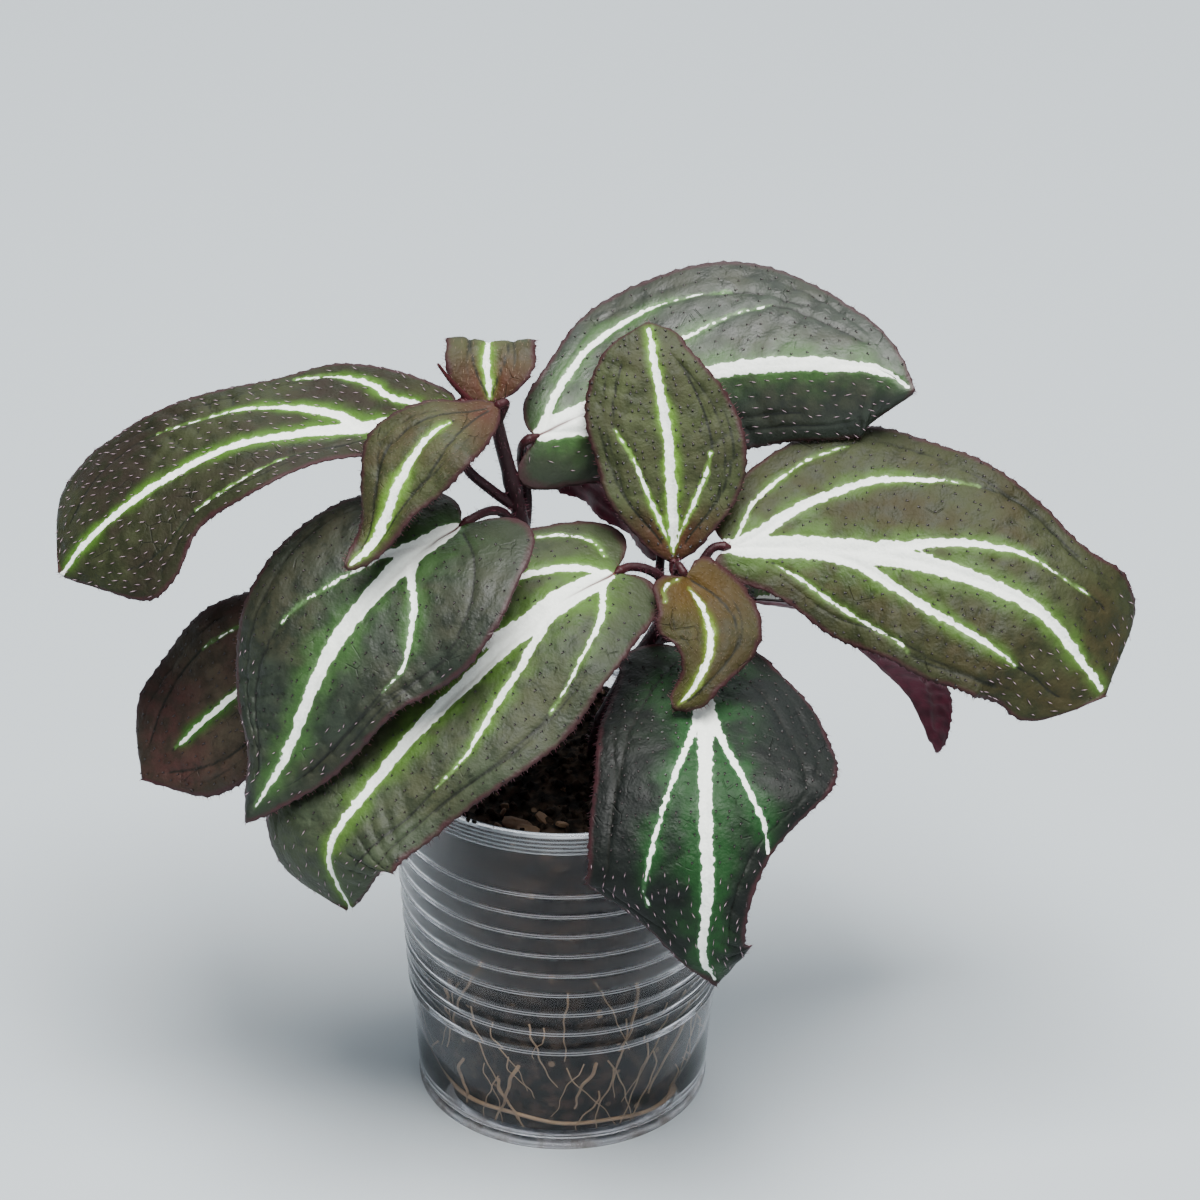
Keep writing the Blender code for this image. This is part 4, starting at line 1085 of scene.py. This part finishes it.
def cup_section(cup):
    """The cup's section, down its outside and back up its inside, in millimetres."""
    top, rim = cup.height / MM, cup.rim_radius / MM
    depth, wall = cup.rim_depth / MM, cup.wall / MM
    slope_top = top - depth

    def outer(height):
        """The wall's outer radius, which steps in below the ribs."""
        share = (height - FOOT_HEIGHT) / (slope_top - FOOT_HEIGHT)
        radius = (cup.foot_radius + share * (cup.top_radius - cup.foot_radius)) / MM
        return radius - 0.35 if height < STEP_HEIGHT else radius

    outside = [(rim - 2.1, top - 0.25), (rim - 1.5, top), (rim - 0.7, top), (rim - 0.15, top - 0.35)]
    for ridge in range(4):
        height = top - 0.75 - ridge * RIDGE_PITCH
        outside += [(rim, height), (rim - 0.12, height - 0.3), (rim - 0.12, height - 0.6)]
    outside += [(rim, slope_top + 0.2), (rim - 0.3, slope_top), (outer(slope_top) + 0.25, slope_top - 0.05)]
    outside += [(outer(slope_top - 0.5), slope_top - 0.5)]
    pitch, rise = cup.rib_pitch / MM, cup.rib_rise / MM
    for k in range(cup.ribs):
        height = cup.top_rib / MM - k * pitch
        outside += [(outer(height + 0.7), height + 0.7), (outer(height) + rise, height + 0.06)]
        outside += [(outer(height) + rise, height - 0.08), (outer(height - 0.3), height - 0.24)]
    outside += [(outer(19.6), 19.8), (outer(19.4), 19.1), (outer(10), 10)]
    low = outer(FOOT_HEIGHT)
    outside += [(outer(FOOT_HEIGHT + 0.3), FOOT_HEIGHT + 0.4), (low - 0.35, FOOT_HEIGHT - 0.1)]
    outside += [(low - 0.45, FOOT_HEIGHT - 0.7), (29.8, 1.6), (29.7, 0.7)]
    outside += [(29.2, 0.15), (28.6, 0), (27.5, 0), (26.5, 1.6), (22.5, 1.6), (21, 0), (0, 0)]
    inside = [(0, 0.8), (21.4, 0.8), (22.7, 2.3), (27, 2.3), (outer(4) - wall - 0.6, 2.6)]
    inside += [(outer(5) - wall, 4.4), (outer(19) - wall, 19), (outer(20) - wall - 0.1, 20)]
    inside += [(outer(slope_top) - wall, slope_top), (rim - 2.1, top - 0.25)]
    return outside + inside


def plastic_material(cup):
    """Clear plastic: partly diffuse and pale at the rim's ridges and the ribs' crests as painted
    highlights, matt between the ribs above the roots, and dusty at the foot."""
    t = Tree("clear plastic")
    height = t.add("ShaderNodeSeparateXYZ", {0: t.place}).outputs[2]
    rim_foot = cup.height - cup.rim_depth
    ridge = t.maths("SINE", t.maths("MULTIPLY", height, 2 * math.pi / (RIDGE_PITCH * MM)))
    rim = t.fade(height, rim_foot - 0.2 * MM, rim_foot + 0.2 * MM)
    steps = t.maths("DIVIDE", t.maths("SUBTRACT", cup.top_rib, height), cup.rib_pitch)
    off_rib = t.maths("PINGPONG", steps, 0.5)
    crest = t.fade(off_rib, 0.04, 0.012)
    above = t.maths("GREATER_THAN", height, cup.top_rib - (cup.ribs - 0.5) * cup.rib_pitch)
    ribbed = t.maths("MULTIPLY", above, t.maths("LESS_THAN", height, cup.top_rib + MM))
    dust = t.maths("MULTIPLY", t.fade(height, 3.5 * MM, 0.5 * MM), t.fade(t.noise(160.0, 4.0), 0.4, 0.7))
    # Painted reflection: the rim's ridges turn grey and partly diffuse, standing in for the bright and dark
    # lines that they reflect.
    rim_ridge_painted_reflection = t.maths("MULTIPLY", rim, t.fade(ridge, -0.7, 0.7, 0.35, 1.0))
    colour = t.mix(rim_ridge_painted_reflection, tuple(cup.tint), (0.44, 0.47, 0.5))
    colour = t.mix(dust, colour, (0.12, 0.085, 0.055))
    # Painted highlight: the rim's ridges and the ribs' crests are made partly diffuse and pale, standing in
    # for the light that they catch; the brown dust at the foot is partly diffuse too.
    painted_highlight_and_dust = t.maths("MULTIPLY", rim, t.fade(ridge, -0.3, 0.9, 0.05, 0.45))
    painted_highlight_and_dust = t.maths("MAXIMUM", painted_highlight_and_dust, t.maths("MULTIPLY", t.maths("MULTIPLY", crest, ribbed), 0.36))
    painted_highlight_and_dust = t.maths("MAXIMUM", painted_highlight_and_dust, t.maths("MULTIPLY", dust, 0.4))
    plain = t.maths("GREATER_THAN", height, cup.top_rib + 1.5 * MM)
    matt = t.maths("MAXIMUM", plain, t.fade(off_rib, 0.08, 0.18))
    matt = t.maths("MULTIPLY", matt, t.maths("LESS_THAN", height, rim_foot))
    matt = t.maths("MULTIPLY", matt, t.fade(height, 30 * MM, 42 * MM, 0.0, 0.28))
    t.set(Base_Color=colour, Roughness=matt, Transmission_Weight=t.maths("SUBTRACT", 1.0, painted_highlight_and_dust))
    t.set(IOR=1.46, Specular_IOR_Level=0.16, Specular_Tint=(0.24, 0.25, 0.27))
    return t.material


class SONERILA_OT_cup(bpy.types.Operator):
    """Spin the clear cup with its rolled rim and ribs"""

    bl_idname = "sonerila.cup"
    bl_label = "Clear Cup"

    def execute(self, context):
        cup = context.scene.sonerila_cup
        pot = turned("cup", cup_section(cup), 128)
        pot.data.materials.append(plastic_material(cup))
        soften = pot.modifiers.new("Soft corners", "BEVEL")
        soften.width = 0.12 * MM
        soften.segments = 2
        soften.limit_method = "ANGLE"
        soften.angle_limit = math.radians(25)
        apply_modifiers(pot)
        bpy.ops.object.shade_smooth()
        pot.visible_shadow = False
        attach(pot, "root")
        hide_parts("pot")
        return {"FINISHED"}


def inner_radius(height):
    """The radius that the cup leaves free at a height, in millimetres."""
    return 28.75 + height / 79.6 * 5.15


def lump(x, y):
    """The soil top's rise and fall, in millimetres."""
    broad = np.sin(0.31 * x + 1.0) * np.cos(0.27 * y - 0.4)
    small = np.sin(0.74 * x - 0.5 * y) * np.cos(0.66 * y + 0.3 * x)
    return 0.54 * broad + 0.36 * small


def soil_material(soil):
    """Damp peat with brown fibres and a few pale grains."""
    t = Tree("soil")
    clod = t.noise(330.0, 3.0)
    grain = t.add("ShaderNodeTexVoronoi", {"Vector": t.place, "Scale": 520.0}).outputs
    tone = t.mix(t.fade(clod, 0.4, 0.7), tuple(soil.soil), (0.045, 0.031, 0.021))
    pale = t.fade(t.add("ShaderNodeSeparateColor", {0: grain["Color"]}).outputs[0], 0.955, 0.985)
    pale = t.maths("MULTIPLY", pale, t.fade(grain["Distance"], 0.45, 0.25))
    t.set(Base_Color=t.mix(pale, tone, (0.16, 0.11, 0.07)), Roughness=0.85, Specular_IOR_Level=0.06)
    height = t.add("ShaderNodeSeparateXYZ", {0: t.place}).outputs[2]
    rough = t.maths("ADD", clod, t.maths("MULTIPLY", t.noise(1000.0, 2.0), 0.5))
    rough = t.maths("MULTIPLY", rough, t.fade(height, soil.top - 3 * MM, soil.top - MM, 0.12, 1.0))
    t.bump(rough, 0.5 * MM, 0.9)
    return t.material


def chip_material():
    """Pale, rough bark."""
    t = Tree("bark chip")
    t.set(Base_Color=t.mix(t.noise(500.0, 4.0), (0.2, 0.12, 0.06), (0.05, 0.028, 0.016)), Roughness=0.8)
    t.bump(t.noise(900.0, 4.0), 0.0003, 1.0)
    return t.material


class SONERILA_OT_soil(bpy.types.Operator):
    """Fill the cup with crumbly soil, bark chips and loose crumbs"""

    bl_idname = "sonerila.soil"
    bl_label = "Soil"

    def execute(self, context):
        soil = context.scene.sonerila_soil
        top, zone = soil.top / MM, soil.root_zone / MM
        section = [(0.001, top)] + [(r, top) for r in np.arange(1.2, 32.4, 0.9)]
        section += [(inner_radius(top - 1) - SOIL_CLEARANCE, top - 1.4)]
        section += [(inner_radius(h) - SOIL_CLEARANCE, h) for h in np.arange(top - 2.6, zone + 1.9, -1.1)]
        section += [(inner_radius(h) - ROOT_CLEARANCE, h) for h in np.arange(zone, 5.2, -1.1)]
        section += [(27.4, 3.7), (20, 3.3), (0.001, 3.3)]
        bed = turned("soil_bed", section, 150)
        points = points_of(bed.data) / MM
        x, y, z = points.T
        high = z > top - 0.1
        reach = np.hypot(x, y)
        outward = np.stack([x, y, 0 * z], -1) / np.maximum(reach, 0.1)[:, None]
        turn = np.arctan2(y, x) * 30
        rough = drift(turn / 1.7, z / 1.5, 1.0) + 0.6 * drift(turn / 0.7, z / 0.6, 2.0)
        crumbly = 0.5 * drift(x / 1.3, y / 1.3, 3.0) + 0.35 * drift(x / 0.5, y / 0.5, 4.0)
        points[:, 2] += np.where(high, lump(x, y) + crumbly, 0)
        side = (~high) & (z > 5) & (reach > 20)
        points += outward * np.where(side, 0.1 * rough - 0.1, 0)[:, None]
        place_points(bed.data, points * MM)
        bed.data.materials.append(soil_material(soil))

        draw = np.random.default_rng(5)
        bpy.ops.mesh.primitive_ico_sphere_add(subdivisions=1, radius=1)
        crumb = bpy.context.object
        rough_points = points_of(crumb.data)
        place_points(crumb.data, rough_points * draw.uniform(0.65, 1.15, rough_points.shape))
        count = soil.crumbs
        radius = CRUMB_REACH * np.sqrt(draw.uniform(0, 1, count))
        angle = draw.uniform(0, 2 * math.pi, count)
        x, y = radius * np.cos(angle), radius * np.sin(angle)
        spots = np.stack([x, y, top + lump(x, y) + 0.25], -1)
        rim_angle = np.radians(draw.uniform(-128, -112, RIM_CRUMBS))
        on_rim = np.stack([np.cos(rim_angle), np.sin(rim_angle), np.zeros(RIM_CRUMBS)], -1)
        on_rim = 35.1 * on_rim + (0, 0, 79.7)
        spots = np.concatenate([spots, on_rim])
        heads = draw.normal(0, 1, spots.shape)
        heads /= np.linalg.norm(heads, axis=1)[:, None]
        sizes = draw.uniform(0.35, 1.1, len(spots)) ** 1.6 * MM
        sizes[-RIM_CRUMBS:] *= 0.5
        frames = upright_frames(spots * MM, heads, sizes, 1.2 * sizes, angle[:1].repeat(len(spots)))
        crumbs = scatter("soil_crumbs", crumb, frames)
        crumbs.data.materials.append(bed.data.materials[0])
        bpy.data.objects.remove(crumb)

        bpy.ops.mesh.primitive_cube_add(size=1)
        chip = bpy.context.object
        chip.modifiers.new("Worn", "BEVEL").width = 0.2
        apply_modifiers(chip)
        radius = 29 * np.sqrt(draw.uniform(0, 1, CHIPS))
        angle = draw.uniform(0, 2 * math.pi, CHIPS)
        radius[:7] = (24, 26, 22, 27, 24, 20, 28)
        angle[:7] = np.radians((-112, -105, -98, -118, -90, -125, -84))
        x, y = radius * np.cos(angle), radius * np.sin(angle)
        spots = np.stack([x, y, top + lump(x, y) + 0.5], -1)
        heads = draw.normal(0, 0.35, spots.shape) + (0, 0, 1)
        heads /= np.linalg.norm(heads, axis=1)[:, None]
        wide = draw.uniform(1.2, 3.2, CHIPS)
        wide[:3] = (6, 4.5, 5.2)
        thick = draw.uniform(0.6, 1.1, CHIPS)
        frames = upright_frames(spots * MM, heads, thick * MM, wide * MM, angle)
        frames[:, :, 1] *= 0.45
        chips = scatter("bark_chips", chip, frames)
        chips.data.materials.append(chip_material())
        bpy.data.objects.remove(chip)
        join(bed, [crumbs, chips])
        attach(bed, "root")
        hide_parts("soil")
        return {"FINISHED"}


class SONERILA_OT_roots(bpy.types.Operator):
    """Lay thin tan roots against the cup's wall"""

    bl_idname = "sonerila.roots"
    bl_label = "Roots"

    def execute(self, context):
        soil = context.scene.sonerila_soil
        draw = np.random.default_rng(21)
        strands = []
        for k in range(soil.strands):
            thick = draw.uniform(0.12, 0.22) if k % 3 else draw.uniform(0.3, 0.5)
            start = draw.uniform(0, 2 * math.pi)
            high = draw.uniform(12, soil.root_zone / MM - 4)
            low = max(4.6, high - draw.uniform(6, 26))
            lean = draw.uniform(-0.6, 0.6) * (high - low) / 26
            sway = draw.uniform(0.004, 0.03)
            share = np.linspace(0, 1, 24)
            turn = start + lean * share + sway * np.sin(6 * share + k) + 0.005 * np.sin(19 * share + 2 * k)
            height = high + (low - high) * share
            deep = np.where(share < 0.12, (0.12 - share) * 12, 0)
            radius = inner_radius(height) - 0.3 - thick - deep
            points = np.stack([radius * np.cos(turn), radius * np.sin(turn), height], -1)
            radii = thick * (1 - 0.55 * share)
            strands.append(tube("strand", points, radii, 1))
        ring_turn = np.linspace(0, 2 * math.pi, 90)
        height = 6.5 + 1.2 * np.sin(2 * ring_turn) + 0.3 * np.sin(9 * ring_turn)
        radius = inner_radius(height) - 0.8
        points = np.stack([radius * np.cos(ring_turn), radius * np.sin(ring_turn), height], -1)
        ring = tube("roots_mat", points, np.full(90, 0.36), 1)
        join(ring, strands)
        ring.data.materials.clear()
        t = Tree("root skin")
        tan = tuple(soil.root)
        t.set(Base_Color=t.mix(t.noise(400.0, 3.0), tan, tuple(0.45 * c for c in tan)), Roughness=0.7)
        t.bump(t.noise(1500.0, 3.0), 0.0001, 0.8)
        ring.data.materials.append(t.material)
        bpy.ops.object.shade_smooth()
        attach(ring, "root")
        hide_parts("roots")
        return {"FINISHED"}


def stem_material(look):
    """Dark maroon skin, redder where a petiole meets its leaf."""
    t = Tree("stem skin")
    streak = t.noise(420.0, 3.0)
    dark = t.mix(streak, tuple(look.skin), tuple(2.2 * c for c in look.skin))
    warm = t.mix(streak, tuple(look.warm), tuple(0.5 * c for c in look.warm))
    t.set(Base_Color=t.mix(t.field("warm"), dark, warm), Roughness=0.5, Specular_IOR_Level=0.25)
    t.bump(t.noise(900.0, 3.0), 0.00015, 0.8)
    return t.material


class SONERILA_OT_stems(bpy.types.Operator):
    """Grow the two hairy stems with their petioles and the bract"""

    bl_idname = "sonerila.stems"
    bl_label = "Stems"

    def execute(self, context):
        look = context.scene.sonerila_shoots
        skin = stem_material(look)
        hair_skin = hair_material("stem hair", (0.04, 0.004, 0.008), (0.18, 0.05, 0.08))
        ends = []
        for shoot in SHOOTS.values():
            for leaf_name in shoot["petioles"]:
                ends.append(along_curve(LEAVES[leaf_name]["rib"], [0.0])[0][0])
        ends = np.array(ends)
        for name, shoot in SHOOTS.items():
            share = np.linspace(0, 1, 60)
            spine = along_curve(shoot["stem"], share)[0]
            taper = np.linspace(look.stem_radius, look.apex_radius, 60) / MM
            for knot in STEM_KNOTS:
                taper = taper + 0.35 * bump_line(share - knot, 0.02)
            parts = []
            for leaf_name, way in shoot["petioles"].items():
                spots, heads, _ = along_curve(LEAVES[leaf_name]["rib"], [0.0, INTO_BLADE])
                near = spots[0] - heads[0] * PETIOLE_END
                places = np.linspace(0, 1, 40)
                bend = along_curve((*way, near, spots[1]), places)[0]
                radii = np.linspace(look.petiole_radius, look.petiole_tip, 40) / MM
                radii = radii + 0.22 * bump_line(places - 0.93, 0.05)
                radii[-3:] = (0.8, 0.62, 0.4)
                parts.append(tube("petiole", bend, radii, 3))
            if shoot["bract"]:
                bend = along_curve(shoot["bract"], np.linspace(0, 1, 30))[0]
                parts.append(tube("bract", bend, np.linspace(0.95, 0.3, 30), 3))
            stem = tube(name + "_bark", spine, taper, 5)
            join(stem, parts)
            stem.data.remesh_voxel_size = STEM_VOXEL * MM
            bpy.ops.object.voxel_remesh()
            relax = stem.modifiers.new("Relax", "SMOOTH")
            relax.factor = 0.5
            relax.iterations = 3
            apply_modifiers(stem)
            bpy.ops.object.shade_smooth()
            points = points_of(stem.data)
            normals = normals_of(stem.data)
            nearest = np.min(np.linalg.norm(points[:, None] - ends[None] * MM, axis=2), axis=1) / MM
            warm = np.exp(-nearest / 2.4)
            if shoot["bract"]:
                way = along_curve(shoot["bract"], np.linspace(0, 1, 20))[0] * MM
                close = np.min(np.linalg.norm(points[:, None] - way[None, 4:], axis=2), axis=1) / MM
                warm = np.maximum(warm, close < 1.6)
            set_attribute(stem.data, "warm", warm)
            stem.data.materials.clear()
            stem.data.materials.append(skin)
            draw = np.random.default_rng(9)
            chosen = draw.choice(len(points), STEM_HAIRS, replace=False)
            chosen = chosen[points[chosen, 2] > HAIRS_ABOVE * MM]
            hairs = make_hairs(name + "_hairs", points[chosen], normals[chosen], MM, 0.05 * MM, 3)
            hairs.data.materials.append(hair_skin)
            join(stem, [hairs])
            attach(stem, "root")
            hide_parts(name)
        return {"FINISHED"}


class SONERILA_OT_leaves(bpy.types.Operator):
    """Grow the thirteen striped, bristly leaves"""

    bl_idname = "sonerila.leaves"
    bl_label = "Leaves"

    def execute(self, context):
        look = context.scene.sonerila_leaves
        materials = {name: leaf_material("leaf " + name, skin, look) for name, skin in SKINS.items()}
        materials["under"] = underside_material(look)
        # Painted light: the bristle and speck skins are pale and dark copies of one hair, for how the hairs
        # catch the light where a leaf hangs and where it faces up.
        materials["bristle"] = hair_material("bristle", (0.02, 0.012, 0.012), (0.34, 0.23, 0.28))
        materials["speck"] = hair_material("speck", (0.004, 0.003, 0.003), (0.035, 0.022, 0.022))
        materials["fringe"] = hair_material("edge hair", (0.05, 0.007, 0.016), (0.25, 0.09, 0.12))
        materials["silk"] = hair_material("silky hair", (0.07, 0.04, 0.02), (0.24, 0.17, 0.11))
        for name, leaf in LEAVES.items():
            dress_leaf(name, leaf, look, materials)
        return {"FINISHED"}


def soft_light(name, place, size, power, colour):
    """A rectangular lamp at a place in metres, aimed at the plant."""
    data = bpy.data.lights.new(name, "AREA")
    data.shape = "RECTANGLE"
    data.size, data.size_y = size
    data.energy = power
    data.color = colour
    item = bpy.data.objects.new(name, data)
    bpy.context.scene.collection.objects.link(item)
    item.location = place
    item.rotation_mode = "QUATERNION"
    item.rotation_quaternion = (Vector(LIGHT_AIM) - Vector(place)).to_track_quat("-Z", "Y")


class SONERILA_OT_stage(bpy.types.Operator):
    """Set up the pale floor, the soft lights and the camera"""

    bl_idname = "sonerila.stage"
    bl_label = "Stage"

    def execute(self, context):
        look = context.scene.sonerila_stage
        bpy.ops.object.select_all(action="DESELECT")
        bpy.ops.mesh.primitive_plane_add(size=12)
        floor = bpy.context.object
        floor.name = "floor"
        t = Tree("floor paper")
        pale = tuple(look.floor)
        t.set(Base_Color=t.mix(t.noise(3.0, 2.0), pale, tuple(0.97 * c for c in pale)), Roughness=0.9)
        floor.data.materials.append(t.material)
        world = bpy.data.worlds.new("studio")
        context.scene.world = world
        world.use_nodes = True
        sky = world.node_tree.nodes["Background"].inputs
        sky["Color"].default_value = SKY_COLOUR
        sky["Strength"].default_value = SKY_STRENGTH
        for name, settings in LIGHTS.items():
            soft_light(name, **settings)
        lens = bpy.data.cameras.new("camera")
        lens.lens = look.lens
        lens.sensor_width = 36
        lens.clip_start = 0.05
        camera = bpy.data.objects.new("camera", lens)
        context.scene.collection.objects.link(camera)
        down, roll = math.radians(look.down), math.radians(look.roll)
        back = np.array([0, -math.cos(down), math.sin(down)])
        right = np.array([1.0, 0, 0])
        up = np.array([0, math.sin(down), math.cos(down)])
        lean_right = right * math.cos(roll) + up * math.sin(roll)
        lean_up = up * math.cos(roll) - right * math.sin(roll)
        target = np.array(CAMERA_AIM) * MM
        turn = np.stack([lean_right, lean_up, back], -1)
        spot = target + back * look.away
        camera.matrix_world = Matrix([[*turn[k], spot[k]] for k in range(3)] + [[0, 0, 0, 1]])
        context.scene.camera = camera
        return {"FINISHED"}


class SONERILA_PT_panel(bpy.types.Panel):
    """Lists the sizes and the steps"""

    bl_idname = "SONERILA_PT_panel"
    bl_label = "Potted Sonerila"
    bl_space_type = "VIEW_3D"
    bl_region_type = "UI"
    bl_category = "Sonerila"

    def draw(self, context):
        for step in STEPS:
            self.layout.operator(step.bl_idname)
        for group in GROUPS:
            box = self.layout.box()
            settings = getattr(context.scene, group)
            for key in settings.__annotations__:
                box.prop(settings, key)


STEPS = (
    SONERILA_OT_cup,
    SONERILA_OT_soil,
    SONERILA_OT_roots,
    SONERILA_OT_stems,
    SONERILA_OT_leaves,
    SONERILA_OT_stage,
)
GROUPS = {
    "sonerila_cup": CupSizes,
    "sonerila_soil": SoilSizes,
    "sonerila_shoots": ShootSizes,
    "sonerila_leaves": LeafLook,
    "sonerila_stage": StageLook,
}


def register():
    """Registers the classes and hangs the settings on the scene."""
    for item in (*GROUPS.values(), *STEPS, SONERILA_PT_panel):
        bpy.utils.register_class(item)
    for name, group in GROUPS.items():
        setattr(bpy.types.Scene, name, PointerProperty(type=group))


def unregister():
    """Takes the settings and the classes away again."""
    for name in GROUPS:
        delattr(bpy.types.Scene, name)
    for item in (SONERILA_PT_panel, *reversed(STEPS), *reversed(list(GROUPS.values()))):
        bpy.utils.unregister_class(item)


def main():
    """Builds the whole scene."""
    register()
    bpy.ops.sonerila.cup()
    bpy.ops.sonerila.soil()
    bpy.ops.sonerila.roots()
    bpy.ops.sonerila.stems()
    bpy.ops.sonerila.leaves()
    bpy.ops.sonerila.stage()


if __name__ == "__main__":
    main()
